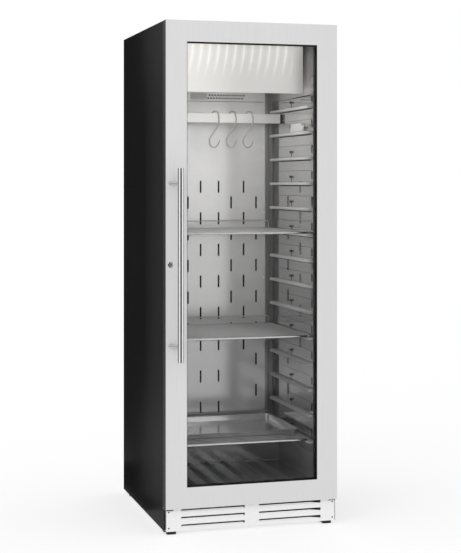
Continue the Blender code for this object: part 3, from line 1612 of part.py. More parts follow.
def hinges():
    low_leaf = leaf_top_z - LEAF_THICKNESS
    hinge_bracket(
        "lower", low_leaf, low_leaf + GAP, leaf_top_z + HINGE_PIN_LENGTH, low_leaf + GAP, low_leaf + LEAF_LEG_HEIGHT
    )
    hinge_bracket(
        "upper",
        upper_leaf_z,
        upper_leaf_z - HINGE_PIN_LENGTH,
        upper_leaf_z + LEAF_THICKNESS - GAP,
        upper_leaf_z + LEAF_THICKNESS - LEAF_LEG_HEIGHT,
        upper_leaf_z + LEAF_THICKNESS - GAP,
    )
    bush("lower", door_z - GAP - BUSH_FLANGE, door_z - GAP - BUSH_FLANGE, door_z + HINGE_PIN_LENGTH)
    bush("upper", pocket_z + GAP, pocket_z - HINGE_PIN_LENGTH, pocket_z + GAP + BUSH_FLANGE)
    spare = -hinge_x
    nose = [(-px, py) for px, py in arc((hinge_x, hinge_y), LEAF_HALF_WIDTH, 0, -90, CORNER_STEPS)]
    points = [
        (spare - LEAF_HALF_WIDTH, front_y - GAP),
        *nose,
        (spare + LEAF_INNER_REACH, hinge_y - LEAF_HALF_WIDTH),
        (spare + LEAF_INNER_REACH, front_y - GAP),
    ]
    outline("hinge_blank_cap", points, "Z", low_leaf, leaf_top_z, BLACK_PLASTIC)


def build():
    side_panel("left", -1)
    side_panel("right", 1)
    top_panel()
    rear_panel()
    insulation()
    liner()
    breaker_frame()
    base_pan()
    kick_grille()
    for place, centre in foot_places():
        foot(place, centre)
    machine_room()
    air_duct_panel()
    air_unit()
    light_strip()
    side_rack("left", -1)
    side_rack("right", 1)
    hanging_bar()
    for index in range(HOOK_COUNT):
        meat_hook(index)
    for name, ledge in zip(SHELF_NAMES, shelf_ledges):
        wire_shelf(name, ledge)
    drip_tray()
    corrugated_floor()
    wall_parts()
    door_skin()
    door_core()
    door_glass()
    door_gasket()
    handle()
    lock()
    hinges()


build()
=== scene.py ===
"""The dry aging cabinet as in its photograph: soft edges, pressed steel, wire, glass and its own light."""

from __future__ import annotations

import json
import logging
import math
from collections.abc import Callable, Iterable, Sequence
from dataclasses import dataclass
from enum import Enum

import bmesh
import bpy
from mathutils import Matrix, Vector

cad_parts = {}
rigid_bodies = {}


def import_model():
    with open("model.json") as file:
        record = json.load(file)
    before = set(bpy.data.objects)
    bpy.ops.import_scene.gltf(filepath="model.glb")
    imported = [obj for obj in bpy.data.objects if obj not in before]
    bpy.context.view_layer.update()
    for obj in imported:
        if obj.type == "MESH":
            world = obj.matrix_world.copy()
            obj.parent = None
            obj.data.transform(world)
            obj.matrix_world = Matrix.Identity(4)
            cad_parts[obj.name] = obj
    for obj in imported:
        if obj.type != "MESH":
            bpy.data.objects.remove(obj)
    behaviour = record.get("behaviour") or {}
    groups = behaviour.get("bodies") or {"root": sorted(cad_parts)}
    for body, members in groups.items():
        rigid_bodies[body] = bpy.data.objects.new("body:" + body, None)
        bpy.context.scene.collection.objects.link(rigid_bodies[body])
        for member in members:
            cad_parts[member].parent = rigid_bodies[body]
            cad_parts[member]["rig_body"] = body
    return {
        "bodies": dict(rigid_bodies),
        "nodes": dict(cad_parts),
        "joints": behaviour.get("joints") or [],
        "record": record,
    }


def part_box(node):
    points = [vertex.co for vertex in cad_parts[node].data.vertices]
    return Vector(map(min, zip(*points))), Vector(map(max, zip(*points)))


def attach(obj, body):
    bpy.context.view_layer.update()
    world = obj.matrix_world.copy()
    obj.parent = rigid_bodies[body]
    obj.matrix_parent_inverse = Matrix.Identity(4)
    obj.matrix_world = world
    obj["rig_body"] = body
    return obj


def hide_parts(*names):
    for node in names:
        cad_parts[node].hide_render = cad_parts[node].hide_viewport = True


LOG = logging.getLogger("cabinet")

Colour = tuple[float, float, float]
Spot = tuple[float, float]
Place = tuple[float, float, float]

FORWARD: Place = (0.0, -1.0, 0.0)
BACKWARD: Place = (0.0, 1.0, 0.0)
UP: Place = (0.0, 0.0, 1.0)
DOWN: Place = (0.0, 0.0, -1.0)

NOISE_RANGE: Spot = (0.3, 0.7)
WHITE = (1.0, 1.0, 1.0, 1.0)


def grey(level: float) -> Colour:
    """Gives a grey of one level."""
    return (level, level, level)


def even(cycles: float) -> Place:
    """Gives a grain that is the same along X, Y and Z."""
    return (cycles, cycles, cycles)


class Slot(Enum):
    """The record's material slots."""

    BLACK_PAINT = "black_paint"
    BLACK_PLASTIC = "black_plastic"
    DOOR_STEEL = "door_steel"
    LINER_STEEL = "liner_steel"
    WIRE_STEEL = "wire_steel"
    CHROME = "chrome"
    ZINC = "zinc"
    FOAM = "foam"
    GLASS = "glass"
    RUBBER = "rubber"
    COPPER = "copper"
    ALUMINIUM = "aluminium"
    WHITE_PLASTIC = "white_plastic"
    LENS = "lens"


class Across(Enum):
    """The direction in which a flat shape is given its thickness."""

    X = 0
    Y = 1
    Z = 2

    def place(self, spot: Spot, depth: float) -> Vector:
        """Puts a point of a flat shape in space.

        Args:
            spot: The point's two coordinates, in X, Y, Z order without this direction.
            depth: Where it is along this direction.

        Returns:
            The point in space.
        """
        values = list(spot)
        values.insert(self.value, depth)
        return Vector(values)


class Wiring:
    """A tree of shader nodes in the making."""

    def __init__(self, owner: bpy.types.Material | bpy.types.World) -> None:
        """Empties a tree.

        Args:
            owner: The material or the world that it belongs to.
        """
        owner.use_nodes = True
        self.tree = owner.node_tree
        self.tree.nodes.clear()

    def put(self, socket: bpy.types.NodeSocket, value: object) -> None:
        """Gives a socket its value.

        Args:
            socket: The socket.
            value: A value of its own, or another node's output to link to it.
        """
        if isinstance(value, bpy.types.NodeSocket):
            self.tree.links.new(value, socket)
        else:
            socket.default_value = value

    def node(self, kind: str, *inputs: object, **sockets: object) -> bpy.types.Node:
        """Adds a node and sets or links its inputs.

        Args:
            kind: The node's type.
            inputs: Values or outputs for its first inputs, in order.
            sockets: Input names in lower case with underscores, with a value or another node's output.

        Returns:
            The node.
        """
        node = self.tree.nodes.new(kind)
        for socket, value in zip(node.inputs, inputs):
            self.put(socket, value)
        for name, value in sockets.items():
            self.put(node.inputs[name.replace("_", " ").title()], value)
        return node

    def math(self, operation: str, *values: object, clamped: bool = False) -> bpy.types.NodeSocket:
        """Adds a sum of one or two values.

        Args:
            operation: Which sum it is, such as ADD.
            values: Numbers or other nodes' outputs.
            clamped: Whether the result is kept between 0 and 1.

        Returns:
            The result.
        """
        node = self.node("ShaderNodeMath", *values)
        node.operation = operation
        node.use_clamp = clamped
        return node.outputs["Value"]


class Recipe(Wiring):
    """A node material in the making, with its main shader."""

    def __init__(self, name: str) -> None:
        """Starts the material.

        Args:
            name: The material's name.
        """
        self.material = bpy.data.materials.new(name)
        super().__init__(self.material)
        self.shader = self.node("ShaderNodeBsdfPrincipled")
        self.node("ShaderNodeOutputMaterial", surface=self.shader.outputs["BSDF"])

    def fix(self, **values: object) -> None:
        """Sets or links the shader's own sockets.

        Args:
            values: Socket names in lower case with underscores, with a value or another node's output.
        """
        for name, value in values.items():
            self.put(self.shader.inputs[name.replace("_", " ").title().replace("Ior", "IOR")], value)

    def noise(self, scale: Place, detail: float = 3.0) -> bpy.types.NodeSocket:
        """Adds noise over the object's own space.

        Args:
            scale: Cycles per metre along X, Y and Z.
            detail: How many finer layers it has.

        Returns:
            The noise value, about 0.5 on average.
        """
        space = self.node("ShaderNodeTexCoord")
        stretch = self.node("ShaderNodeMapping", vector=space.outputs["Object"], scale=scale)
        cloud = self.node("ShaderNodeTexNoise", vector=stretch.outputs["Vector"], scale=1.0, detail=detail)
        return cloud.outputs["Fac"]

    def spread(self, value: bpy.types.NodeSocket, source: Spot, target: Spot) -> bpy.types.NodeSocket:
        """Maps one range of a value to another.

        Args:
            value: The value.
            source: The range that it comes in.
            target: The range that it leaves in.

        Returns:
            The mapped value.
        """
        node = self.node(
            "ShaderNodeMapRange", value=value, from_min=source[0], from_max=source[1], to_min=target[0],
            to_max=target[1],
        )
        node.interpolation_type = "SMOOTHSTEP"
        return node.outputs["Result"]

    def tint(self, value: bpy.types.NodeSocket, dark: Colour, light: Colour) -> bpy.types.NodeSocket:
        """Turns a value into a colour between two.

        Args:
            value: A value from 0 to 1.
            dark: The colour below the noise's range.
            light: The colour above it.

        Returns:
            The colour.
        """
        ramp = self.node("ShaderNodeValToRGB", fac=value)
        for stop, place, colour in zip(ramp.color_ramp.elements, NOISE_RANGE, (dark, light)):
            stop.position = place
            stop.color = (*colour, 1.0)
        return ramp.outputs["Color"]

    def bump(
        self, height: bpy.types.NodeSocket, depth: float, under: bpy.types.NodeSocket | None = None,
    ) -> None:
        """Raises the surface by a value.

        Args:
            height: The value.
            depth: How high 1 stands, in metres.
            under: Another bump that this one lies on.
        """
        node = self.node("ShaderNodeBump", height=height, distance=depth, strength=1.0)
        if under is not None:
            self.put(node.inputs["Normal"], under)
        self.raised = node.outputs["Normal"]
        self.fix(normal=self.raised)


@dataclass(frozen=True)
class Finish:
    """A surface with a grain, a change of tone across it and a change of gloss.

    Attributes:
        name: The material's name.
        slot: The record's slot.
        dark: Its darkest colour.
        light: Its lightest colour.
        gloss: Its roughness where it is smoothest and roughest.
        metallic: 1 for a metal, 0 for paint or plastic.
        grain: Cycles of the fine grain per metre along X, Y and Z.
        depth: Depth of the grain in metres.
        waves: Cycles of the slow waves per metre.
        swell: Depth of the slow waves in metres.
        shine: Strength of the reflection on paint or plastic, 0.5 for the usual one.
    """

    name: str
    slot: Slot
    dark: Colour
    light: Colour
    gloss: Spot = (0.3, 0.4)
    metallic: float = 0.0
    grain: Place = (300.0, 300.0, 300.0)
    depth: float = 0.00002
    waves: float = 0.0
    swell: float = 0.0
    shine: float = 0.5

    def recipe(self) -> Recipe:
        """Makes the node material.

        Returns:
            The recipe, with the grain, tone, gloss and waves linked.
        """
        recipe = Recipe(self.name)
        fine = recipe.noise(self.grain)
        recipe.fix(
            metallic=self.metallic, specular_ior_level=self.shine,
            base_color=recipe.tint(fine, self.dark, self.light),
            roughness=recipe.spread(fine, NOISE_RANGE, self.gloss),
        )
        recipe.bump(fine, self.depth)
        if self.swell:
            recipe.bump(recipe.noise(even(self.waves), 1.0), self.swell, recipe.raised)
        return recipe

    def material(self) -> bpy.types.Material:
        """Gives the finish's material, made the first time that it is asked for."""
        return bpy.data.materials.get(self.name) or self.recipe().material


@dataclass(frozen=True)
class Spangle(Finish):
    """Galvanised sheet, with its flower-like crystals."""

    crystals: float = 90.0

    def recipe(self) -> Recipe:
        """Makes the node material with crystals of different tone.

        Returns:
            The recipe.
        """
        recipe = super().recipe()
        space = recipe.node("ShaderNodeTexCoord")
        cells = recipe.node("ShaderNodeTexVoronoi", vector=space.outputs["Object"], scale=self.crystals)
        recipe.fix(base_color=recipe.tint(cells.outputs["Color"], self.dark, self.light))
        return recipe


@dataclass(frozen=True)
class Glazing(Finish):
    """Clear glass that shows little of itself, with a faint film on it."""

    cover: float = 0.05
    bending: float = 1.45

    def recipe(self) -> Recipe:
        """Makes the node material, mostly see-through.

        Returns:
            The recipe.
        """
        recipe = super().recipe()
        recipe.fix(alpha=self.cover, ior=self.bending)
        return recipe


@dataclass(frozen=True)
class Lit(Finish):
    """A surface that glows, such as the cover of a light."""

    glow: Colour = (1.0, 0.95, 0.86)
    strength: float = 4.0
    least: float = 0.85
    patches: float = 60.0

    def recipe(self) -> Recipe:
        """Makes the node material with its glow.

        Returns:
            The recipe.
        """
        recipe = super().recipe()
        dim = tuple(value * self.least for value in self.glow)
        cloud = recipe.noise(even(self.patches), 1.0)
        recipe.fix(emission_color=recipe.tint(cloud, dim, self.glow), emission_strength=self.strength)
        return recipe


@dataclass(frozen=True)
class PaintedLightPlate(Finish):
    """The plate behind the light strip, with painted light: a painted glow over it, brighter at the left, and
    a painted streak of light under each diode.

    Attributes:
        pitch: Distance from streak to streak.
        top: Height at which the streaks start.
        fall: How far down they reach.
        lean: How far they bend aside at their lower end.
        bow: How late they bend, 1 for a straight line.
        core: Half width of a streak's bright middle, as a share of the pitch.
        halo: Where the light round a streak starts and ends, as shares of the pitch.
        halo_level: Brightness of that light.
        fade: Where the streaks start and end to fade, as shares of their fall.
        wash: Colour of the painted light.
        strength: Brightness of all of it.
        streaks: Brightness of the streaks.
        side: Where the painted glow over the whole plate starts and ends to change, along X.
        levels: Brightness of the painted glow at its left and its right.
        last: Where the streaks end at the right, along X.
    """

    pitch: float = 0.030
    top: float = 1.622
    fall: float = 0.125
    lean: float = 0.024
    bow: float = 1.6
    core: float = 0.17
    halo: Spot = (0.05, 0.5)
    halo_level: float = 0.45
    fade: Spot = (0.25, 1.0)
    wash: Colour = (1.0, 0.97, 0.91)
    strength: float = 0.62
    streaks: float = 0.30
    side: Spot = (-0.22, 0.02)
    levels: Spot = (0.76, 0.32)
    last: Spot = (0.165, 0.18)

    def recipe(self) -> Recipe:
        """Makes the node material with its painted streaks and painted glow.

        Returns:
            The recipe.
        """
        recipe = super().recipe()
        space = recipe.node("ShaderNodeTexCoord")
        parts = recipe.node("ShaderNodeSeparateXYZ", vector=space.outputs["Object"])
        across, height = parts.outputs["X"], parts.outputs["Z"]
        drop = recipe.math("DIVIDE", recipe.math("SUBTRACT", self.top, height), self.fall)
        drop = recipe.math("MAXIMUM", drop, 0.0)
        bend = recipe.math("MULTIPLY", recipe.math("POWER", drop, self.bow), self.lean)
        turns = recipe.math("DIVIDE", recipe.math("ADD", across, bend), self.pitch)
        wave = recipe.math("FRACT", recipe.math("ADD", turns, 0.5))
        wave = recipe.math("ABSOLUTE", recipe.math("SUBTRACT", wave, 0.5))
        core = recipe.spread(wave, (0.0, self.core), (1.0, 0.0))
        halo = recipe.spread(wave, self.halo, (self.halo_level, 0.0))
        streak = recipe.math("ADD", core, halo)
        streak = recipe.math("MULTIPLY", streak, recipe.spread(drop, self.fade, (1.0, 0.0)))
        streak = recipe.math("MULTIPLY", streak, recipe.spread(across, self.last, (1.0, 0.0)))
        # Painted light: a glow over the whole plate, brighter at the left.
        left = recipe.spread(across, self.side, self.levels)
        total = recipe.math("ADD", recipe.math("MULTIPLY", streak, self.streaks), left)
        ramp = recipe.node("ShaderNodeValToRGB", fac=total)
        ramp.color_ramp.elements[0].color = (0.0, 0.0, 0.0, 1.0)
        ramp.color_ramp.elements[1].color = (*self.wash, 1.0)
        # The streaks and the glow are painted light, an emission on a plate that is no lamp.
        recipe.fix(emission_color=ramp.outputs["Color"], emission_strength=self.strength)
        return recipe


POWDER_COAT = Finish(
    "powder_coat", Slot.BLACK_PAINT, grey(0.005), grey(0.009),
    gloss=(0.30, 0.38), grain=even(520.0), depth=0.00003, shine=0.01,
)
MOULDED_BLACK = Finish(
    "moulded_black", Slot.BLACK_PLASTIC, grey(0.008), grey(0.016),
    gloss=(0.45, 0.6), grain=even(900.0), depth=0.00003, shine=0.25,
)
SATIN_DOOR = Finish(
    "satin_door", Slot.DOOR_STEEL, grey(0.66), grey(0.71),
    gloss=(0.34, 0.44), metallic=0.07, grain=(900.0, 900.0, 7.0), depth=0.000006, shine=0.3,
)
SATIN_BASE = Finish(
    "satin_base", Slot.DOOR_STEEL, grey(0.84), grey(0.90),
    gloss=(0.28, 0.38), metallic=0.3, grain=(7.0, 900.0, 900.0), depth=0.000006,
)
BRIGHT_LINER = Finish(
    "bright_liner", Slot.LINER_STEEL, grey(0.42), grey(0.48),
    gloss=(0.10, 0.16), metallic=0.55, grain=(40.0, 40.0, 900.0), depth=0.000002,
    waves=3.2, swell=0.0002,
)
DUCT_SHEET = Finish(
    "duct_sheet", Slot.LINER_STEEL, grey(0.62), grey(0.68),
    gloss=(0.13, 0.18), metallic=0.48, grain=(900.0, 40.0, 12.0), depth=0.000002,
    waves=3.0, swell=0.0002,
)
RACK_SHEET = Finish(
    "rack_sheet", Slot.LINER_STEEL, grey(0.50), grey(0.56),
    gloss=(0.04, 0.07), metallic=0.80, grain=(300.0, 8.0, 700.0), depth=0.000001,
    waves=4.0, swell=0.0001,
)
LEDGE_STEEL = Finish(
    "ledge_steel", Slot.LINER_STEEL, grey(0.49), grey(0.56),
    gloss=(0.34, 0.44), metallic=0.4, grain=(300.0, 8.0, 300.0), depth=0.000004,
)
FLOOR_SHEET = Finish(
    "floor_sheet", Slot.LINER_STEEL, grey(0.26), grey(0.30),
    gloss=(0.20, 0.24), metallic=0.55, grain=(40.0, 4.0, 40.0), depth=0.0000002,
)
TRAY_SHEET = Finish(
    "tray_sheet", Slot.LINER_STEEL, grey(0.70), grey(0.78),
    gloss=(0.12, 0.20), metallic=0.70, grain=even(200.0), depth=0.000002,
)
# The plate behind the light strip, with painted light from the diodes on it.
PAINTED_LIGHT_PLATE = PaintedLightPlate(
    "plate_with_painted_light", Slot.LINER_STEEL, (0.60, 0.60, 0.59), (0.66, 0.66, 0.65),
    gloss=(0.30, 0.42), metallic=0.8, grain=(20.0, 400.0, 400.0), depth=0.000004,
    waves=5.0, swell=0.0004,
)
BRIGHT_WIRE = Finish(
    "bright_wire", Slot.WIRE_STEEL, grey(0.62), grey(0.74),
    gloss=(0.12, 0.22), metallic=1.0, grain=even(260.0), depth=0.000008,
)
DULL_WIRE = Finish(
    "dull_wire", Slot.WIRE_STEEL, grey(0.38), grey(0.46),
    gloss=(0.36, 0.46), metallic=0.7, grain=even(260.0), depth=0.000008,
)
MIRROR_CHROME = Finish(
    "mirror_chrome", Slot.CHROME, (0.74, 0.74, 0.75), (0.82, 0.82, 0.83),
    gloss=(0.05, 0.11), metallic=1.0, grain=(300.0, 300.0, 60.0), depth=0.000003,
)
POST_CHROME = Finish(
    "post_chrome", Slot.CHROME, grey(0.50), grey(0.56),
    gloss=(0.24, 0.30), metallic=0.45, grain=even(600.0), depth=0.000004,
)
HOOK_WIRE = Finish(
    "hook_wire", Slot.CHROME, (0.46, 0.44, 0.40), (0.60, 0.58, 0.53),
    gloss=(0.12, 0.20), metallic=0.8, grain=even(500.0), depth=0.00001,
)
GALVANISED = Spangle(
    "galvanised", Slot.ZINC, (0.42, 0.43, 0.45), (0.60, 0.61, 0.62),
    gloss=(0.35, 0.5), metallic=1.0, grain=even(120.0), depth=0.00002,
)
CELL_FOAM = Finish(
    "cell_foam", Slot.FOAM, (0.70, 0.60, 0.36), (0.84, 0.76, 0.52),
    gloss=(0.85, 0.95), grain=even(260.0), depth=0.0006,
)
DOOR_GLASS = Glazing(
    "door_glass", Slot.GLASS, (0.015, 0.018, 0.018), (0.025, 0.028, 0.028),
    gloss=(0.01, 0.03), grain=even(6.0), depth=0.000002, cover=0.035,
)
SOFT_RUBBER = Finish(
    "soft_rubber", Slot.RUBBER, grey(0.008), grey(0.016),
    gloss=(0.7, 0.85), grain=even(500.0), depth=0.00004, shine=0.2,
)
BARE_COPPER = Finish(
    "bare_copper", Slot.COPPER, (0.55, 0.28, 0.17), (0.78, 0.46, 0.31),
    gloss=(0.25, 0.42), metallic=1.0, grain=even(60.0), depth=0.00001,
)
FIN_ALUMINIUM = Finish(
    "fin_aluminium", Slot.ALUMINIUM, (0.66, 0.67, 0.69), (0.80, 0.81, 0.83),
    gloss=(0.3, 0.42), metallic=1.0, grain=even(400.0), depth=0.00001,
)
BAR_STEEL = Finish(
    "bar_steel", Slot.WIRE_STEEL, grey(0.46), grey(0.52),
    gloss=(0.30, 0.40), metallic=0.5, grain=(8.0, 600.0, 600.0), depth=0.000004,
)
LOCK_FACE = Finish(
    "lock_face", Slot.CHROME, grey(0.25), grey(0.33),
    gloss=(0.25, 0.38), metallic=0.3, grain=even(600.0), depth=0.00001,
)
SENSOR_GREY = Finish(
    "sensor_grey", Slot.WHITE_PLASTIC, (0.34, 0.34, 0.33), (0.42, 0.42, 0.41),
    gloss=(0.40, 0.52), grain=even(700.0), depth=0.00003,
)
PORT_GREY = Finish(
    "port_grey", Slot.BLACK_PLASTIC, grey(0.22), grey(0.29),
    gloss=(0.45, 0.60), grain=even(900.0), depth=0.00003, shine=0.2,
)
# Near-black sheet behind openings: painted shade where the openings look into darkness.
PAINTED_SHADE_BLACK = Finish(
    "painted_shade_black", Slot.BLACK_PLASTIC, grey(0.004), grey(0.010),
    gloss=(0.9, 1.0), grain=even(1400.0), depth=0.0001, shine=0.0,
)
MOULDED_WHITE = Finish(
    "moulded_white", Slot.WHITE_PLASTIC, (0.72, 0.72, 0.70), (0.80, 0.80, 0.78),
    gloss=(0.35, 0.48), grain=even(700.0), depth=0.00003,
)
LIGHT_COVER = Lit(
    "light_cover", Slot.LENS, (0.80, 0.80, 0.78), (0.88, 0.88, 0.86),
    gloss=(0.3, 0.4), grain=even(400.0), depth=0.00002, strength=0.60,
)
DIODE = Lit(
    "diode", Slot.LENS, (0.90, 0.88, 0.80), (0.96, 0.94, 0.88),
    gloss=(0.1, 0.2), grain=even(600.0), depth=0.00001, strength=2.5,
)

BY_SLOT = {
    Slot.BLACK_PAINT: POWDER_COAT,
    Slot.BLACK_PLASTIC: MOULDED_BLACK,
    Slot.DOOR_STEEL: SATIN_DOOR,
    Slot.LINER_STEEL: BRIGHT_LINER,
    Slot.WIRE_STEEL: BRIGHT_WIRE,
    Slot.CHROME: MIRROR_CHROME,
    Slot.ZINC: GALVANISED,
    Slot.FOAM: CELL_FOAM,
    Slot.GLASS: DOOR_GLASS,
    Slot.RUBBER: SOFT_RUBBER,
    Slot.COPPER: BARE_COPPER,
    Slot.ALUMINIUM: FIN_ALUMINIUM,
    Slot.WHITE_PLASTIC: MOULDED_WHITE,
    Slot.LENS: LIGHT_COVER,
}


def arc(centre: Spot, radius: float, start: float, end: float, steps: int) -> list[Spot]:
    """Gives points on an arc.

    Args:
        centre: Its centre.
        radius: Its radius.
        start: Where it starts, in degrees.
        end: Where it ends, in degrees.
        steps: How many pieces it is drawn in.

    Returns:
        The points, one more than the pieces.
    """
    turns = [math.radians(start + (end - start) * step / steps) for step in range(steps + 1)]
    return [(centre[0] + radius * math.cos(turn), centre[1] + radius * math.sin(turn)) for turn in turns]


def circle(centre: Spot, radius: float, sides: int = 16) -> list[Spot]:
    """Gives the points of a circle, with the same arguments as arc."""
    return arc(centre, radius, 0.0, 360.0, sides)[:-1]


def rounded(low: Spot, high: Spot, radius: float, steps: int = 4) -> list[Spot]:
    """Gives a rectangle with round corners.

    Args:
        low: Its lowest corner.
        high: Its highest corner.
        radius: The corners' radius.
        steps: Pieces in each corner.

    Returns:
        Its outline, counterclockwise.
    """
    left, bottom = low[0] + radius, low[1] + radius
    right, top = high[0] - radius, high[1] - radius
    corners = (((right, bottom), -90.0), ((right, top), 0.0), ((left, top), 90.0), ((left, bottom), 180.0))
    return [spot for centre, start in corners for spot in arc(centre, radius, start, start + 90.0, steps)]


def filleted(path: Sequence[Place], radius: float, steps: int, closed: bool = False) -> list[Vector]:
    """Rounds the corners of a path.

    Args:
        path: Its corners.
        radius: The radius of each bend.
        steps: Pieces in each bend.
        closed: Whether the path closes on itself.

    Returns:
        The path with its bends.
    """
    points = [Vector(point) for point in path]
    result = [] if closed else [points[0]]
    corners = range(len(points)) if closed else range(1, len(points) - 1)
    for index in corners:
        corner = points[index]
        back = (points[index - 1] - corner).normalized()
        ahead = (points[(index + 1) % len(points)] - corner).normalized()
        half = back.angle(ahead) / 2
        if half > math.radians(89.5):
            result.append(corner)
            continue
        centre = corner + (back + ahead).normalized() * (radius / math.sin(half))
        start = corner + back * (radius / math.tan(half)) - centre
        end = corner + ahead * (radius / math.tan(half)) - centre
        for step in range(steps + 1):
            result.append(centre + start.normalized().slerp(end.normalized(), step / steps) * radius)
    if not closed:
        result.append(points[-1])
    return result


def curve_through(points: Sequence[Place], steps: int) -> list[Vector]:
    """Draws a smooth curve through points.

    Args:
        points: The points.
        steps: Pieces between two points.

    Returns:
        The curve's points.
    """
    row = [Vector(point) for point in points]
    row = [row[0] * 2 - row[1], *row, row[-1] * 2 - row[-2]]
    result = []
    for index in range(1, len(row) - 2):
        before, start, end, after = row[index - 1 : index + 3]
        for step in range(steps):
            t = step / steps
            result.append(
                (start * 2 + (end - before) * t + (before * 2 - start * 5 + end * 4 - after) * t * t
                 + (start * 3 - before - end * 3 + after) * t * t * t) / 2
            )
    return [*result, row[-2]]


def placed(name: str, mesh: bmesh.types.BMesh, *materials: bpy.types.Material) -> bpy.types.Object:
    """Turns a mesh into an object of the scene.

    Args:
        name: The object's name.
        mesh: The mesh, which is freed.
        materials: Its materials.

    Returns:
        The object.
    """
    data = bpy.data.meshes.new(name)
    mesh.to_mesh(data)
    mesh.free()
    for material in materials:
        data.materials.append(material)
    made = bpy.data.objects.new(name, data)
    bpy.context.scene.collection.objects.link(made)
    return made


class Piece:
    """A mesh in the making, which then becomes one object of the cabinet."""

    def __init__(self, name: str) -> None:
        """Starts an empty mesh.

        Args:
            name: The piece's name.
        """
        self.name = name
        self.mesh = bmesh.new()

    def slab(self, low: Place, high: Place) -> None:
        """Adds a plate or block between two corners.

        Args:
            low: Its lowest corner.
            high: Its highest corner.
        """
        outline = [(low[0], low[1]), (high[0], low[1]), (high[0], high[1]), (low[0], high[1])]
        self.plate(outline, Across.Z, low[2], high[2])

    def plate(
        self, outline: Sequence[Spot], across: Across, low: float, high: float,
        holes: Iterable[Sequence[Spot]] = (),
    ) -> None:
        """Adds a flat shape with a thickness, cut by its holes.

        Args:
            outline: Its outline.
            across: The direction of its thickness.
            low: Where it starts in that direction.
            high: Where it ends.
            holes: The outlines of its holes.
        """
        loops = [outline, *holes]
        lower = [[self.mesh.verts.new(across.place(spot, low)) for spot in loop] for loop in loops]
        upper = [[self.mesh.verts.new(across.place(spot, high)) for spot in loop] for loop in loops]
        twin = {a: b for row, other in zip(lower, upper) for a, b in zip(row, other)}
        if len(loops) == 1:
            self.mesh.faces.new(lower[0])
            self.mesh.faces.new(upper[0])
        else:
            edges = [self.mesh.edges.new((a, b)) for row in lower for a, b in zip(row, row[1:] + row[:1])]
            filled = bmesh.ops.triangle_fill(self.mesh, use_beauty=True, use_dissolve=False, edges=edges)
            for face in [item for item in filled["geom"] if isinstance(item, bmesh.types.BMFace)]:
                self.mesh.faces.new([twin[vertex] for vertex in reversed(face.verts)])
        for row in lower:
            for a, b in zip(row, row[1:] + row[:1]):
                self.mesh.faces.new((a, b, twin[b], twin[a]))

    def turned(
        self, profile: Sequence[Spot], centre: Place, axis: Place, sides: int = 40, ring: bool = False
    ) -> None:
        """Adds a shape turned round an axis.

        Args:
            profile: Its radius and its height along the axis, from one end to the other.
            centre: Where the axis starts.
            axis: The axis.
            sides: Pieces round it.
            ring: Whether the profile closes on itself, round a hole.
        """
        along = Vector(axis).normalized()
        right = along.orthogonal().normalized()
        ahead = along.cross(right)
        rings = []
        for radius, height in profile:
            middle = Vector(centre) + along * height
            round_it = circle((0.0, 0.0), radius, sides) if radius else [(0.0, 0.0)]
            rings.append([self.mesh.verts.new(middle + right * x + ahead * y) for x, y in round_it])
        if ring:
            rings.append(rings[0])
        self.skin(rings, ends=not ring)

    def skin(self, rings: Sequence[Sequence[bmesh.types.BMVert]], ends: bool = True) -> None:
        """Joins rings of points with faces.

        Args:
            rings: The rings, each of one point or of as many as the others.
            ends: Whether the first and last are filled.
        """
        for before, after in zip(rings, rings[1:]):
            count = max(len(before), len(after))
            for index in range(count):
                corner = [
                    before[index % len(before)], before[(index + 1) % len(before)],
                    after[(index + 1) % len(after)], after[index % len(after)],
                ]
                face = list(dict.fromkeys(corner))
                if len(face) > 2:
                    self.mesh.faces.new(face)
        if ends:
            for row in (rings[0], rings[-1]):
                if len(row) > 2:
                    self.mesh.faces.new(row)

    def wire(
        self, path: Sequence[Vector], radius: float | Sequence[float], sides: int = 12, closed: bool = False
    ) -> None:
        """Adds a round wire along a path.

        Args:
            path: Its centre line.
            radius: Its radius, or one for each point.
            sides: Pieces round it.
            closed: Whether it closes on itself.
        """
        points = [Vector(point) for point in path]
        count = len(points)
        radii = list(radius) if isinstance(radius, (list, tuple)) else [radius] * count
        ahead = []
        for index in range(count):
            before = points[index - 1] if closed or index else points[0]
            after = points[(index + 1) % count] if closed or index < count - 1 else points[-1]
            ahead.append((after - before).normalized())
        side = ahead[0].orthogonal().normalized()
        rings = []
        for index in range(count):
            side = (side - ahead[index] * side.dot(ahead[index])).normalized()
            other = ahead[index].cross(side)
            section = circle((0.0, 0.0), radii[index], sides)
            rings.append([self.mesh.verts.new(points[index] + side * x + other * y) for x, y in section])
        if closed:
            first = rings[0]
            last = rings[-1]

            def apart(turn: int) -> float:
                """Adds up the distances between the ends, turned by some points."""
                return sum((last[k].co - first[(k + turn) % sides].co).length for k in range(sides))

            shift = min(range(sides), key=apart)
            rings.append(first[shift:] + first[:shift])
        self.skin(rings, ends=not closed)

    def rod(self, start: Place, end: Place, radius: float, sides: int = 12, edge: float = 0.0) -> None:
        """Adds a straight round rod.

        Args:
            start: One end.
            end: The other end.
            radius: Its radius.
            sides: Pieces round it.
            edge: The chamfer at its ends.
        """
        length = (Vector(end) - Vector(start)).length
        profile = [(radius, 0.0), (radius, length)]
        if edge:
            profile = [(radius - edge, 0.0), (radius, edge), (radius, length - edge), (radius - edge, length)]
        self.turned(profile, start, Vector(end) - Vector(start), sides)

    def screw(self, centre: Place, outward: Place, radius: float) -> None:
        """Adds a small domed screw head with a dimple in its middle.

        Args:
            centre: Where it meets the sheet.
            outward: Away from the sheet.
            radius: Its radius.
        """
        profile = [
            (radius, 0.0), (radius * 0.97, radius * 0.22), (radius * 0.78, radius * 0.42),
            (radius * 0.45, radius * 0.5), (radius * 0.36, radius * 0.26), (0.0, radius * 0.2),
        ]
        self.turned(profile, centre, outward, 16)

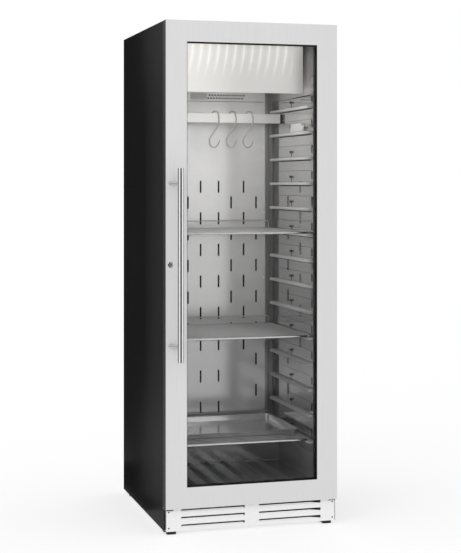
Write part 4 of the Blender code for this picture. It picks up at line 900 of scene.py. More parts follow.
    def soften(
        self, width: float, segments: int, angle: float, chosen: Callable[[bmesh.types.BMEdge], bool],
    ) -> None:
        """Rounds the sharp edges.

        Args:
            width: How far the rounding goes from the edge.
            segments: Pieces in it.
            angle: The least angle between two faces of a sharp edge, in degrees.
            chosen: Whether an edge is one to round.
        """
        edges = [
            edge for edge in self.mesh.edges
            if len(edge.link_faces) == 2 and edge.calc_face_angle() > math.radians(angle) and chosen(edge)
        ]
        bmesh.ops.bevel(
            self.mesh, geom=edges, offset=width, offset_type="OFFSET", segments=segments, profile=0.5,
            affect="EDGES", clamp_overlap=True,
        )

    def make(
        self, finish: Finish, body: str, *nodes: str,
        soft: float = 0.0, segments: int = 3, angle: float = 35.0,
        chosen: Callable[[bmesh.types.BMEdge], bool] = lambda edge: True,
        second: Finish | None = None, where: Callable[[Vector, Vector], bool] = lambda place, outward: False,
    ) -> bpy.types.Object:
        """Turns the mesh into an object with its finish and body.

        Args:
            finish: Its finish.
            body: The body that it moves with.
            nodes: The nodes that it stands for.
            soft: Width of the rounding on its sharp edges.
            segments: Pieces in that rounding.
            angle: The angle above which an edge is sharp, in degrees.
            chosen: Whether an edge is one to round.
            second: Another finish for some of its faces.
            where: Whether a face, by its middle and direction, has that finish.

        Returns:
            The object.
        """
        bmesh.ops.recalc_face_normals(self.mesh, faces=self.mesh.faces)
        if soft:
            self.soften(soft, segments, angle, chosen)
        if second is not None:
            for face in self.mesh.faces:
                face.material_index = int(where(face.calc_center_median(), face.normal))
        made = placed(self.name, self.mesh, *[item.material() for item in (finish, second) if item])
        made.data.shade_smooth()
        made.data.set_sharp_from_angle(angle=math.radians(angle))
        made.modifiers.new("even_shading", "WEIGHTED_NORMAL").keep_sharp = True
        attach(made, body)
        if nodes:
            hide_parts(*nodes)
        LOG.info("%s: %d faces on %s", self.name, len(made.data.polygons), body)
        return made


@dataclass
class Frame:
    """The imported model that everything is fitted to."""

    loaded: dict
    weld: float = 1e-6
    flat: float = 0.5

    def body(self, node: str) -> str:
        """Gives the name of a node's body."""
        return self.loaded["nodes"][node]["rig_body"]

    def slot(self, node: str) -> Slot:
        """Gives a node's material slot, by the name of its material."""
        name = self.loaded["nodes"][node].data.materials[0].name.split(".")[0]
        return Slot(name)

    def softened(
        self, node: str, width: float, finish: Finish | None = None, segments: int = 3, angle: float = 35.0,
        **more: object,
    ) -> bpy.types.Object:
        """Makes a node's own shape again with soft edges and a finish.

        Args:
            node: The node.
            width: Width of the rounding.
            finish: Its finish, or None for its slot's own.
            segments: Pieces in the rounding.
            angle: The angle above which an edge is sharp, in degrees.
            more: Other choices for the piece.

        Returns:
            The object that stands for the node.
        """
        piece = Piece(f"{node}_dressed")
        mesh = piece.mesh
        mesh.from_mesh(self.loaded["nodes"][node].data)
        bmesh.ops.remove_doubles(mesh, verts=mesh.verts, dist=self.weld)
        flat = math.radians(self.flat)
        bmesh.ops.dissolve_limit(mesh, angle_limit=flat, verts=mesh.verts, edges=mesh.edges)
        chosen = finish or BY_SLOT[self.slot(node)]
        return piece.make(chosen, self.body(node), node, soft=width, segments=segments, angle=angle, **more)

    def softened_all(self, nodes: Iterable[str], width: float, **more: object) -> None:
        """Makes several nodes' own shapes again, with the same choices for each.

        Args:
            nodes: The nodes.
            width: Width of the rounding.
            more: Other choices for the pieces.
        """
        for node in nodes:
            self.softened(node, width, **more)


@dataclass
class Casing:
    """The black body, its foam, rear sheet, chassis and hinges."""

    edge: float = 0.0005
    hinge_edge: float = 0.0002
    foam_edge: float = 0.002

    def dress(self, frame: Frame) -> None:
        """Gives each sheet its soft edges, and keeps the hinge's corners smaller than its gaps.

        Args:
            frame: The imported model.
        """
        frame.softened_all(("side_panel_left", "side_panel_right", "top_panel"), self.edge)
        frame.softened("insulation", self.foam_edge)
        small = ("rear_panel", "breaker_frame", "base_pan", "machine_cover", "hinge_blank_cap")
        frame.softened_all(small, self.edge, segments=2)
        for place in ("upper", "lower"):
            frame.softened(f"hinge_{place}", self.hinge_edge, segments=2)
            frame.softened(f"hinge_bush_{place}", 0.0)
        frame.softened("cord_gland", self.edge, segments=2)


@dataclass
class InnerBox:
    """The bright liner with its folded corners."""

    corner: float = 0.004
    least_wall: float = 0.004

    def dress(self, frame: Frame) -> None:
        """Rounds the folds of the liner, and leaves its open rim sharp.

        Args:
            frame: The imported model.
        """
        frame.softened(
            "liner", self.corner, segments=4,
            chosen=lambda edge: all(face.calc_area() > self.least_wall for face in edge.link_faces),
        )


@dataclass
class DoorLeaf:
    """The door's steel face, its black body, the double glass and the seal.

    Attributes:
        face_edge: Width of the rounding on the steel face.
        core_edge: The same on the black body.
        glass_edge: The same on the panes and their spacer.
        seal_edge: The same on the seal.
        window: The window's left, right, lower and upper side.
        bead: Width of the black bead round it, and of its upper part.
        bead_depth: Where the bead starts and ends from front to back.
    """

    face_edge: float = 0.0005
    core_edge: float = 0.0012
    glass_edge: float = 0.0004
    seal_edge: float = 0.0020
    window: tuple[float, float, float, float] = (-0.22595, 0.22595, 0.15735, 1.61995)
    bead: Spot = (0.0012, 0.0060)
    bead_depth: Spot = (-0.3097, -0.3090)

    def dress(self, frame: Frame) -> None:
        """Gives the door's pieces their finishes.

        Args:
            frame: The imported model.
        """
        frame.softened("door_skin", self.face_edge, segments=2)
        frame.softened("door_core", self.core_edge)
        frame.softened_all(("glass_outer", "glass_inner", "glass_spacer"), self.glass_edge, segments=2)
        frame.softened("door_gasket", self.seal_edge)
        left, right, bottom, top = self.window
        front, back = self.bead_depth
        bead = Piece("door_window_bead")
        narrow, wide = self.bead
        bead.slab((left, front, bottom + narrow), (left + narrow, back, top - wide))
        bead.slab((right - narrow, front, bottom + narrow), (right, back, top - wide))
        bead.slab((left, front, bottom), (right, back, bottom + narrow))
        bead.slab((left, front, top - wide), (right, back, top))
        bead.make(SOFT_RUBBER, "door")


@dataclass
class PullHandle:
    """The round bar on two leaning posts.

    Attributes:
        chamfer: Width of the chamfer at the bar's ends.
        sides: Pieces round the bar.
        post_sides: Pieces round a post.
        foot: Where a post meets the door, across and from front to back.
        post_radius: Radius of a post.
        post_heights: Heights of the lower and the upper post.
    """

    chamfer: float = 0.0008
    sides: int = 56
    post_sides: int = 36
    foot: Spot = (-0.2810, -0.3103)
    post_radius: float = 0.0070
    post_heights: Spot = (0.6235, 1.1545)

    def build(self) -> None:
        """Builds the bar and its posts."""
        low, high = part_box("handle_bar")
        radius = (high.x - low.x) / 2
        axis = ((low.x + high.x) / 2, (low.y + high.y) / 2)
        bar = Piece("handle_round_bar")
        bar.rod((*axis, low.z), (*axis, high.z), radius, self.sides, self.chamfer)
        bar.make(MIRROR_CHROME, "door", "handle_bar")
        for name, height in zip(("lower", "upper"), self.post_heights):
            self.post(name, axis, height)

    def post(self, name: str, axis: Spot, height: float) -> None:
        """Builds one post, cut off flat at the door's face.

        Args:
            name: Which post it is.
            axis: The bar's axis.
            height: The post's height.
        """
        start, end = Vector((*self.foot, height)), Vector((*axis, height))
        along = (end - start).normalized()
        side = along.cross(Vector(UP))
        piece = Piece(f"handle_stand_{name}")
        rings = []
        for depth in (self.foot[1], axis[1] + self.post_radius / 2):
            row = []
            for x, z in circle((0.0, 0.0), self.post_radius, self.post_sides):
                point = start + side * x + Vector((0.0, 0.0, z))
                row.append(piece.mesh.verts.new(point + along * ((depth - point.y) / along.y)))
            rings.append(row)
        piece.skin(rings)
        piece.make(POST_CHROME, "door", f"handle_post_{name}")


@dataclass
class KeyLock:
    """The lock at the door's left edge: a collar, a plug with its keyway, and the catch behind.

    Attributes:
        key: Half the width and half the height of the keyway.
        key_round: Radius of its corners, as a share of half its width.
        gap: Distance from the plug to the collar.
        rim: Width of the collar's outer shoulder.
        bevel: Width and depth of its inner bevel.
        shoulder: Distance of the shoulder's middle point from the outside, and its depth.
        shoulder_end: Depth at which the shoulder ends.
        collar_step: Depth of the collar, and how much wider it is than the barrel.
        plug_sink: How far the plug is sunk into the collar.
        plug_face: Thickness of its front, with the keyway.
        key_depth: Depth of the keyway's floor, which is painted black as shade.
        plug_depth: Depth at which the plug gives way to its stem.
        stem: Radius of the stem.
        near: How near a face is to the keyway's floor to be part of it.
        catch_edge: Width of the rounding on the cam and the keeper.
        sides: Pieces round the collar and the plug.
    """

    key: Spot = (0.0013, 0.0040)
    key_round: float = 0.9
    gap: float = 0.0003
    rim: float = 0.0016
    bevel: Spot = (0.0008, 0.0009)
    shoulder: Spot = (0.0003, 0.0005)
    shoulder_end: float = 0.0012
    collar_step: float = 0.0020
    plug_sink: float = 0.0007
    plug_face: float = 0.0020
    key_depth: float = 0.0030
    plug_depth: float = 0.0120
    stem: float = 0.0035
    near: float = 0.0005
    catch_edge: float = 0.0003
    sides: int = 40

    def build(self, frame: Frame) -> None:
        """Builds the collar and the plug, and dresses the catch.

        Args:
            frame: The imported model.
        """
        low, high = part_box("lock_barrel")
        plug_low, plug_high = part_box("lock_plug")
        radius, plug_radius = (high.z - low.z) / 2, (plug_high.z - plug_low.z) / 2
        x, z = (low.x + high.x) / 2, (low.z + high.z) / 2
        front, length = low.y, high.y - low.y
        inner, barrel = plug_radius + self.gap, radius - self.collar_step
        collar = Piece("lock_collar")
        profile = [
            (inner, self.bevel[1]), (inner + self.bevel[0], 0.0), (radius - self.rim, 0.0),
            (radius - self.shoulder[0], self.shoulder[1]), (radius, self.shoulder_end),
            (radius, self.collar_step), (barrel, self.collar_step), (barrel, length), (inner, length),
        ]
        collar.turned(profile, (x, front, z), BACKWARD, self.sides, ring=True)
        collar.make(MIRROR_CHROME, "door", "lock_barrel")
        plug = Piece("lock_plug_face")
        depth = max(plug_low.y, front + self.plug_sink)
        wide, tall = self.key
        key = rounded((x - wide, z - tall), (x + wide, z + tall), wide * self.key_round, 3)
        plug.plate(circle((x, z), plug_radius, self.sides), Across.Y, depth, depth + self.plug_face, [key])
        start, end = self.key_depth, self.plug_depth
        profile = [(0.0, start), (plug_radius, start), (plug_radius, end), (0.0, end)]
        plug.turned(profile, (x, depth, z), BACKWARD)
        plug.rod((x, depth + end, z), (x, plug_high.y, z), self.stem, 20)
        # The keyway's floor takes the black finish: painted shade inside the keyway.
        plug.make(
            LOCK_FACE, frame.body("lock_plug"), "lock_plug", second=MOULDED_BLACK,
            where=lambda place, outward: abs(place.y - depth - start) < self.near,
        )
        frame.softened_all(("lock_cam", "lock_keeper"), self.catch_edge, segments=2)


@dataclass
class BaseGrille:
    """The bright base plate with its louvred slots and corner screws.

    Attributes:
        sheet: Thickness of the plate.
        slot_height: Height of a slot.
        slot_pitch: Distance from row to row.
        top_drop: Distance from the plate's upper edge to the first row.
        inner_end: Where the slots start, from the middle.
        outer_end: Where they end.
        slot_corner: Radius of their corners.
        notch: Where the plate's upper corners are cut out, from the middle and over the floor.
        blade_rise: How far a blade stands up behind its slot.
        blade_cuts: Length of the slant at a blade's end, in the left and in the right group.
        screw_inset: Distance of the screws from the plate's ends.
        screw_heights: Their heights.
        screw: Their section, as radii and distances in front of the plate.
    """

    sheet: float = 0.0012
    slot_height: float = 0.0095
    slot_pitch: float = 0.0252
    top_drop: float = 0.0017
    inner_end: float = 0.0250
    outer_end: float = 0.2425
    slot_corner: float = 0.0012
    notch: Spot = (0.2689, 0.0806)
    blade_rise: float = 0.0044
    blade_cuts: Spot = (0.0060, 0.0380)
    screw_inset: float = 0.0080
    screw_heights: Spot = (0.0240, 0.0765)
    screw: tuple[Spot, ...] = ((0.0025, -0.0005), (0.0025, 0.0003), (0.0, 0.0007))

    def build(self) -> None:
        """Builds the plate, its folds, the blades behind the slots and the screws."""
        low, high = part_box("kick_grille")
        plate = Piece("base_grille_plate")
        rows = [high.z - self.top_drop - self.slot_pitch * row for row in range(3)]
        wide = self.outer_end - self.inner_end
        holes = [
            rounded((x, top - self.slot_height), (x + wide, top), self.slot_corner, 3)
            for top in rows for x in (-self.outer_end, self.inner_end)
        ]
        notch_x, notch_z = self.notch
        outline = [
            (low.x, low.z), (high.x, low.z), (high.x, notch_z), (notch_x, notch_z), (notch_x, high.z),
            (-notch_x, high.z), (-notch_x, notch_z), (low.x, notch_z),
        ]
        plate.plate(outline, Across.Y, low.y, low.y + self.sheet, holes)
        back = high.y
        for x in (low.x, high.x - self.sheet):
            plate.slab((x, low.y + self.sheet, low.z), (x + self.sheet, back, notch_z))
        for z, reach in ((low.z, high.x - self.sheet), (high.z - self.sheet, notch_x - self.sheet)):
            plate.slab((-reach, low.y + self.sheet, z), (reach, back, z + self.sheet))
        for top in rows:
            for x in (-self.outer_end, self.inner_end):
                self.blade(plate, x, low.y, top - self.slot_height, self.blade_cuts[x > 0])
        plate.make(SATIN_BASE, "cabinet", "kick_grille")
        screws = Piece("base_grille_screws")
        inset = self.screw_inset
        for x in (low.x + inset, high.x - inset):
            for z in self.screw_heights:
                screws.turned(self.screw, (x, low.y, z), FORWARD, 16)
        screws.make(MOULDED_BLACK, "cabinet")

    def blade(self, plate: Piece, x: float, front: float, bottom: float, cut: float) -> None:
        """Adds the blade behind the lower part of a slot, cut off at a slant at its right end.

        Args:
            plate: The piece that it is part of.
            x: The slot's left end.
            front: The plate's front face.
            bottom: The slot's lower edge.
            cut: The length of the slant.
        """
        start, end = front + self.sheet, x + self.outer_end - self.inner_end
        low, high = bottom - self.sheet, bottom + self.blade_rise
        outline = [
            (x, low), (end, low), (end, bottom), (end - cut, high), (x + self.sheet, high), (x, bottom),
        ]
        plate.plate(outline, Across.Y, start, start + self.sheet)


@dataclass
class LevelFeet:
    """The four adjustable feet, each a ribbed pad and a thread, and the glides under the base grille.

    Attributes:
        lobes: Ribs round a pad.
        bite: Depth of the grooves between them, as a share of the radius.
        flare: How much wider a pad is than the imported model's.
        pad: Its section from the floor up: shares of the radius and of the bite, and the height.
        thread: Its radius on the crest and in the groove.
        thread_pitch: Distance from crest to crest.
        glide: The glides' inner and outer side, front, back, lowest and highest place.
        glide_corner: Radius of their corners.
    """

    lobes: int = 30
    bite: float = 0.03
    flare: float = 0.0030
    pad: tuple[Place, ...] = (
        (0.90, 0.0, 0.0), (0.97, 0.5, 0.0006), (1.0, 1.0, 0.0016), (1.0, 1.0, 0.0088), (0.95, 0.5, 0.0100),
        (0.40, 0.0, 0.0108),
    )
    thread: Spot = (0.0040, 0.0034)
    thread_pitch: float = 0.0012
    glide: tuple[float, ...] = (0.2553, 0.2866, -0.2845, -0.2615, 0.0006, 0.0125)
    glide_corner: float = 0.006

    def build(self) -> None:
        """Builds each foot on its own body, and the glides."""
        for place in ("front_left", "front_right", "rear_left", "rear_right"):
            self.foot(f"foot_{place}")
        inner, outer, front, back, low, high = self.glide
        glides = Piece("base_glides")
        for sign in (-1, 1):
            start, end = sorted((sign * inner, sign * outer))
            glides.plate(rounded((start, front), (end, back), self.glide_corner, 5), Across.Z, low, high)
        glides.make(MOULDED_BLACK, "cabinet")

    def foot(self, node: str) -> None:
        """Builds one foot.

        Args:
            node: Its node and body.
        """
        low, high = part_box(node)
        x, y, radius = (low.x + high.x) / 2, (low.y + high.y) / 2, (high.x - low.x) / 2 + self.flare
        pad = Piece(f"{node}_pad")
        sides = self.lobes * 6
        rings = []
        for share, bite, height in self.pad:
            row = []
            for index in range(sides):
                turn = math.tau * index / sides
                reach = radius * share * (1 - bite * self.bite * (1 + math.cos(self.lobes * turn)) / 2)
                place = (x + reach * math.cos(turn), y + reach * math.sin(turn), low.z + height)
                row.append(pad.mesh.verts.new(place))
            rings.append(row)
        pad.skin(rings)
        pad.make(MOULDED_BLACK, node, node)
        stem = Piece(f"{node}_thread")
        crest, groove = self.thread
        z = self.pad[-2][2]
        profile = [(0.0, z)]
        while z < high.z - low.z - self.thread_pitch:
            profile += [(crest, z), (groove, z + self.thread_pitch / 2)]
            z += self.thread_pitch
        stem.turned([*profile, (0.0, z)], (x, y, low.z), UP, 20)
        stem.make(GALVANISED, node)


@dataclass
class AirDuct:
    """The slotted panel at the back, with its header of holes and the dark port.

    Attributes:
        sheet: Thickness of the panel.
        fold: Radius of its folded sides.
        slot: Width and height of a slot.
        slot_round: Radius of its corners, as a share of half its width.
        row_pitch: Distance from row to row.
        top_row: Height of the uppermost row's middle.
        rows: How many rows there are.
        first_column: Where the columns start, from the middle.
        column_pitch: Distance from column to column.
        sparse_row: The row from which on the second and third columns are left out.
        lining: Distance from the panel's face to the black sheet behind it, which is painted shade, and that
            sheet's thickness.
        port: The port's left, right, lower and upper side.
        port_corner: Radius of its corners.
        port_mesh: Depth at which its mesh starts and ends.
        hole_radius: Radius of the header's holes.
        hole_pitch: Distance from hole to hole.
        hole_rows: Rows of holes.
        hole_columns: Holes in a row.
        seam: Height of the seam's upper edge, and its width.
        seam_reach: Half its length.
        screw_inset: Distance of the screws from the panel's sides.
        screw_radius: Their radius.
        screw_heights: Their heights.
    """

    sheet: float = 0.0012
    fold: float = 0.0025
    slot: Spot = (0.0064, 0.0460)
    slot_round: float = 0.96
    row_pitch: float = 0.0585
    top_row: float = 1.1414
    rows: int = 15
    first_column: float = 0.0345
    column_pitch: float = 0.0485
    sparse_row: int = 11
    lining: Spot = (0.0050, 0.0010)
    port: tuple[float, float, float, float] = (-0.074, -0.011, 1.4645, 1.4887)
    port_corner: float = 0.002
    port_mesh: Spot = (0.0025, 0.0033)
    hole_radius: float = 0.0034
    hole_pitch: float = 0.0110
    hole_rows: int = 2
    hole_columns: int = 13
    seam: Spot = (1.4588, 0.0016)
    seam_reach: float = 0.2100
    screw_inset: float = 0.007
    screw_radius: float = 0.0032
    screw_heights: tuple[float, ...] = (1.289, 1.046, 0.803, 0.560, 0.317)

    def build(self) -> None:
        """Builds the panel, its folded sides and its screws."""
        low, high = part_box("air_duct_panel")
        inner = high.x - self.fold
        outline = [(-inner, low.z), (inner, low.z), (inner, high.z), (-inner, high.z)]
        panel = Piece("air_duct_sheet")
        panel.plate(outline, Across.Y, low.y, low.y + self.sheet, self.holes())
        for sign in (-1, 1):
            outer = arc((inner, low.y + self.fold), self.fold, -90.0, 0.0, 5)
            inside = arc((inner, low.y + self.fold), self.fold - self.sheet, 0.0, -90.0, 5)
            bent = [*outer, (high.x, high.y), (high.x - self.sheet, high.y), *inside]
            panel.plate([(sign * x, y) for x, y in bent], Across.Z, low.z, high.z)
        panel.make(DUCT_SHEET, "cabinet", "air_duct_panel")
        # A black sheet behind the slots, painted shade for the dark inside of the duct.
        lining = Piece("air_duct_painted_shade_sheet")
        gap, thick = self.lining
        inner = high.x - 2 * self.fold
        lining.slab((-inner, low.y + gap, low.z), (inner, low.y + gap + thick, high.z))
        lining.make(PAINTED_SHADE_BLACK, "cabinet")
        mesh = Piece("air_duct_port_mesh")
        left, right, bottom, top = self.port
        front, back = (low.y + depth for depth in self.port_mesh)
        mesh.slab((left, front, bottom), (right, back, top))
        mesh.make(PORT_GREY, "cabinet")
        screws = Piece("air_duct_screws")
        for z in self.screw_heights:
            for sign in (-1, 1):
                place = (sign * (high.x - self.screw_inset), low.y, z)
                screws.screw(place, FORWARD, self.screw_radius)
        screws.make(GALVANISED, "cabinet")

    def holes(self) -> list[list[Spot]]:
        """Gives the outlines of the slots, the header's holes and the port.

        Returns:
            The outlines.
        """
        wide, tall = self.slot[0] / 2, self.slot[1] / 2
        turn = wide * self.slot_round
        outlines = []
        for row in range(self.rows):
            z = self.top_row - self.row_pitch * row
            for column in range(row % 2, 4, 2):
                if row >= self.sparse_row and column in (1, 2):
                    continue
                for sign in (-1, 1):
                    x = sign * (self.first_column + self.column_pitch * column)
                    outlines.append(rounded((x - wide, z - tall), (x + wide, z + tall), turn, 4))
        left, right, bottom, top = self.port
        outlines.append(rounded((left, bottom), (right, top), self.port_corner, 3))
        seam, gap = self.seam
        reach = self.seam_reach
        outlines.append([(-reach, seam - gap), (reach, seam - gap), (reach, seam), (-reach, seam)])
        for row in range(self.hole_rows):
            for column in range(self.hole_columns):
                x = right + self.hole_pitch * (column + (row + 1) / 2)
                outlines.append(circle((x, bottom + self.hole_pitch * (row + 0.5)), self.hole_radius, 12))
        return outlines


@dataclass
class AirUnit:
    """The cooling unit under the ceiling, and the strip of light in front of it.

    Attributes:
        edge: Width of the rounding on the housing.
        near: How near a face is to the housing's front to be part of its plate with painted light.
        channel_edge: Radius of the corners of the light's channel.
        channel_lift: Height of the channel over the strip's lower side.
        cover_radius: Half the width of the cover.
        cover_flatness: Its height, as a share of half its width.
        cover_lift: Height of its flat side over the strip's lower side.
        cover_inset: Distance of its ends from the channel's.
        diode_pitch: Distance from diode to diode.
        diodes: How many there are.
        diode: Radius and height of a diode's dome.
        diode_lift: Height of its base over the strip's lower side.
    """

    edge: float = 0.0006
    near: float = 0.0002
    channel_edge: float = 0.0015
    channel_lift: float = 0.0020
    cover_radius: float = 0.0068
    cover_flatness: float = 0.2
    cover_lift: float = 0.0022
    cover_inset: float = 0.003
    diode_pitch: float = 0.0300
    diodes: int = 13
    diode: Spot = (0.0036, 0.0016)
    diode_lift: float = 0.0018

    def build(self, frame: Frame) -> None:
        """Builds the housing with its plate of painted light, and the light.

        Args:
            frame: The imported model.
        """
        low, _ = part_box("air_unit_housing")
        # The housing's front face takes the plate with painted light.
        frame.softened(
            "air_unit_housing", self.edge, DUCT_SHEET, segments=2, second=PAINTED_LIGHT_PLATE,
            where=lambda place, outward: place.y < low.y + self.near and outward.y < -0.5,
        )
        cooling = ("evaporator_fan_frame", "evaporator_fan_rotor", "evaporator_coil")
        frame.softened_all(cooling, 0.0, angle=40.0)
        self.light()

    def light(self) -> None:
        """Builds the channel of the light, its cover and its diodes."""
        low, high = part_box("light_strip")
        middle = (low.y + high.y) / 2
        strip = Piece("light_strip_channel")
        case = rounded((low.y, low.z + self.channel_lift), (high.y, high.z), self.channel_edge, 4)
        strip.plate(case, Across.X, low.x, high.x)
        strip.make(FIN_ALUMINIUM, "cabinet", "light_strip")
        cover = Piece("light_strip_cover")
        bottom = low.z + self.cover_lift
        bowed = arc((0.0, 0.0), self.cover_radius, 180.0, 360.0, 12)
        outline = [(middle + y, bottom + z * self.cover_flatness) for y, z in bowed]
        cover.plate(outline, Across.X, low.x + self.cover_inset, high.x - self.cover_inset)
        cover.make(LIGHT_COVER, "cabinet")
        diodes = Piece("light_strip_diodes")
        radius, height = self.diode
        dome = [(radius * x, height * y) for x, y in arc((0.0, 0.0), 1.0, 0.0, 75.0, 5)]
        for index in range(self.diodes):
            x = self.diode_pitch * (index - (self.diodes - 1) / 2)
            diodes.turned([*dome, (0.0, height)], (x, middle, low.z + self.diode_lift), DOWN, 20)
        diodes.make(DIODE, "cabinet")


@dataclass
class LadderRack:
    """The pressed rack on a side wall: a plate with rounded ledges, keyholes and front slots.

    Attributes:
        sheet: Thickness of the plate.
        ledges: How many it has.
        pitch: Distance from ledge to ledge.
        ledge_height: Height of a ledge.
        reach: How far it stands out.
        ledge_turn: Radius of its edge.
        ledge_inset: How far its ends are from the plate's.
        lance: Height of the slot under each ledge.
        recess: Depth of the black backing behind the openings, which is painted shade, and its thickness.
        recess_inset: How far it is from the plate's ends.
        crease: Height of the thin crease over each ledge, and its width.
        crease_start: Distance from the front slots to a crease.
        step: The place of the plate's lower rear corner, which is cut out.
        step_rise: How far over that corner a ledge is still shortened.
        top_ledge: Height of the uppermost ledge.
        keyhole: A keyhole's place along the wall, and its height over the ledge.
        keyhole_radius: Radius of its round part.
        neck: Half the width of its lower part, and its lower end over the ledge.
        stud: Section of the stud in it, as radii and distances from the plate.
        front_slot: Place of the slots at the front, and half their width.
        slot_rise: Their lower and upper end over the ledge.
        ends: How far the openings end from the plate's front and rear edge.
        lance_gap: Distance from a ledge down to its slot.
        clearance: Least distance from an opening to the plate's upper end.
        corners: Radii of the corners of a ledge's slot, a crease and a front slot.
        stations: Distances from a ledge's end at which its section is drawn.
        least_reach: How far it stands out at the end, besides a share of its reach.
        end_share: That share.
        turn_share: The greatest radius of its edge, as a share of its reach there.
        sunk: How far its section reaches into the plate.
    """

    sheet: float = 0.0015
    ledges: int = 14
    pitch: float = 0.0888
    ledge_height: float = 0.0095
    reach: float = 0.0160
    ledge_turn: float = 0.0032
    ledge_inset: float = 0.004
    lance: float = 0.0034
    recess: float = 0.0003
    recess_inset: float = 0.003
    crease: Spot = (0.0412, 0.0008)
    crease_start: float = 0.009
    step: Spot = (0.1637, 0.2573)
    step_rise: float = 0.02
    top_ledge: float = 1.4237
    keyhole: Spot = (0.010, 0.0205)
    keyhole_radius: float = 0.0048
    neck: Spot = (0.0030, 0.0030)
    stud: tuple[Spot, ...] = (
        (0.0030, 0.0), (0.0030, 0.0040), (0.0042, 0.0042), (0.0042, 0.0070), (0.0, 0.0078),
    )
    front_slot: Spot = (-0.2085, 0.0055)
    slot_rise: Spot = (0.012, 0.040)
    ends: Spot = (0.016, 0.008)
    lance_gap: float = 0.0002
    clearance: float = 0.004
    corners: Place = (0.0012, 0.0003, 0.0025)
    stations: tuple[float, ...] = (0.0, 0.002, 0.005, 0.009, 0.014)
    least_reach: float = 0.0006
    end_share: float = 0.15
    turn_share: float = 0.45
    sunk: float = 0.0002

    def build(self) -> None:
        """Builds both racks."""
        for side, sign in (("left", -1), ("right", 1)):
            self.rack(side, sign)

    def rack(self, side: str, sign: int) -> None:
        """Builds one rack.

        Args:
            side: Its side.
            sign: 1 on the right, -1 on the left.
        """
        node = f"side_rack_{side}"
        low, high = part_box(node)
        wall = max(abs(low.x), abs(high.x))
        face = wall - self.sheet
        step_y, step_z = self.step
        outline = [
            (low.y, low.z), (step_y, low.z), (step_y, step_z), (high.y, step_z), (high.y, high.z),
            (low.y, high.z),
        ]
        studs = Piece(f"{node}_studs")
        tops = [self.top_ledge - self.pitch * index for index in range(self.ledges)]
        for top in tops:
            if self.has_keyhole(top, high.z):
                place = (sign * face, self.keyhole[0], top + self.keyhole[1])
                studs.turned(self.stud, place, (-sign, 0.0, 0.0), 20)
        plate = Piece(f"{node}_sheet")
        inner, outer = sorted((sign * face, sign * wall))
        holes = [hole for top in tops for hole in self.openings(low, high, top)]
        plate.plate(outline, Across.X, inner, outer, holes)
        plate.make(RACK_SHEET, "cabinet", node)
        studs.make(MOULDED_BLACK, "cabinet")
        # A black backing behind the openings: painted shade in them.
        painted_shade_backing = Piece(f"{node}_backing")
        start, end = sorted((sign * (face + self.recess), sign * (face + 2 * self.recess)))
        inset = self.recess_inset
        painted_shade_backing.slab((start, low.y + inset, step_z), (end, step_y, high.z - inset))
        painted_shade_backing.make(PAINTED_SHADE_BLACK, "cabinet")
        shelf = Piece(f"{node}_ledges")
        for top in tops:
            rear = min(high.y, step_y) if top < step_z + self.step_rise else high.y
            self.ledge(shelf, sign, face, (low.y + self.ledge_inset, rear - self.ledge_inset), top)
        shelf.make(LEDGE_STEEL, "cabinet", node, angle=50.0)

    def has_keyhole(self, top: float, upper_end: float) -> bool:
        """Tells whether a ledge has a keyhole over it, and not the end of the plate."""
        return top + self.keyhole[1] + self.clearance < upper_end

    def openings(self, low: Vector, high: Vector, top: float) -> list[list[Spot]]:
        """Gives the openings that go with one ledge.

        Args:
            low: The rack's lowest corner.
            high: Its highest corner.
            top: The ledge's height.

        Returns:
            The outlines of the keyhole, the slot under the ledge, the crease and the front slot.
        """
        openings = []
        lance_turn, crease_turn, slot_turn = self.corners
        front, rear = low.y + self.ends[0], min(self.step[0], high.y) - self.ends[1]
        if self.has_keyhole(top, high.z):
            y, half, foot = self.keyhole[0], self.neck[0], top + self.neck[1]
            rim = arc((y, top + self.keyhole[1]), self.keyhole_radius, -50.0, 230.0, 14)
            openings.append([*rim, (y - half, foot), (y + half, foot)])
        under = top - self.ledge_height
        if under - self.lance > low.z:
            upper = (rear, under - self.lance_gap)
            openings.append(rounded((front, under - self.lance), upper, lance_turn, 3))
        crease = top + self.crease[0]
        if crease + self.clearance < high.z:
            start = self.front_slot[0] + self.crease_start
            openings.append(rounded((start, crease), (rear, crease + self.crease[1]), crease_turn, 2))
        y, half = self.front_slot
        start, end = (top + rise for rise in self.slot_rise)
        openings.append(rounded((y - half, start), (y + half, end), slot_turn, 3))
        return openings

    def ledge(self, shelf: Piece, sign: int, face: float, span: Spot, top: float) -> None:
        """Adds one pressed ledge, rounded in section and sunk to the plate at its ends.

        Args:
            shelf: The piece that it is part of.
            sign: 1 on the right, -1 on the left.
            face: The plate's face.
            span: Where it starts and ends along the wall.
            top: Its height.
        """
        rings = []
        bottom, root = top - self.ledge_height, face + self.sunk
        length = span[1] - span[0]
        for stop in (*self.stations, *[length - stop for stop in reversed(self.stations)]):
            edge = min(stop, length - stop) / self.stations[-1]
            share = math.sqrt(max(0.0, 1 - (1 - edge) ** 2)) if edge < 1 else 1.0
            share = self.end_share + (1 - self.end_share) * share
            reach = self.least_reach + (self.reach - self.least_reach) * share
            tip = face - reach
            turn = min(self.ledge_turn, reach * self.turn_share)
            section = [
                (root, bottom), (tip + 2 * turn, bottom),
                *arc((tip + turn, bottom + self.ledge_turn), turn, -90.0, -180.0, 5)[1:],
                *arc((tip + turn, top - turn), turn, 180.0, 90.0, 5), (root, top),
            ]
            rings.append([shelf.mesh.verts.new((sign * x, span[0] + stop, z)) for x, z in section])
        shelf.skin(rings)


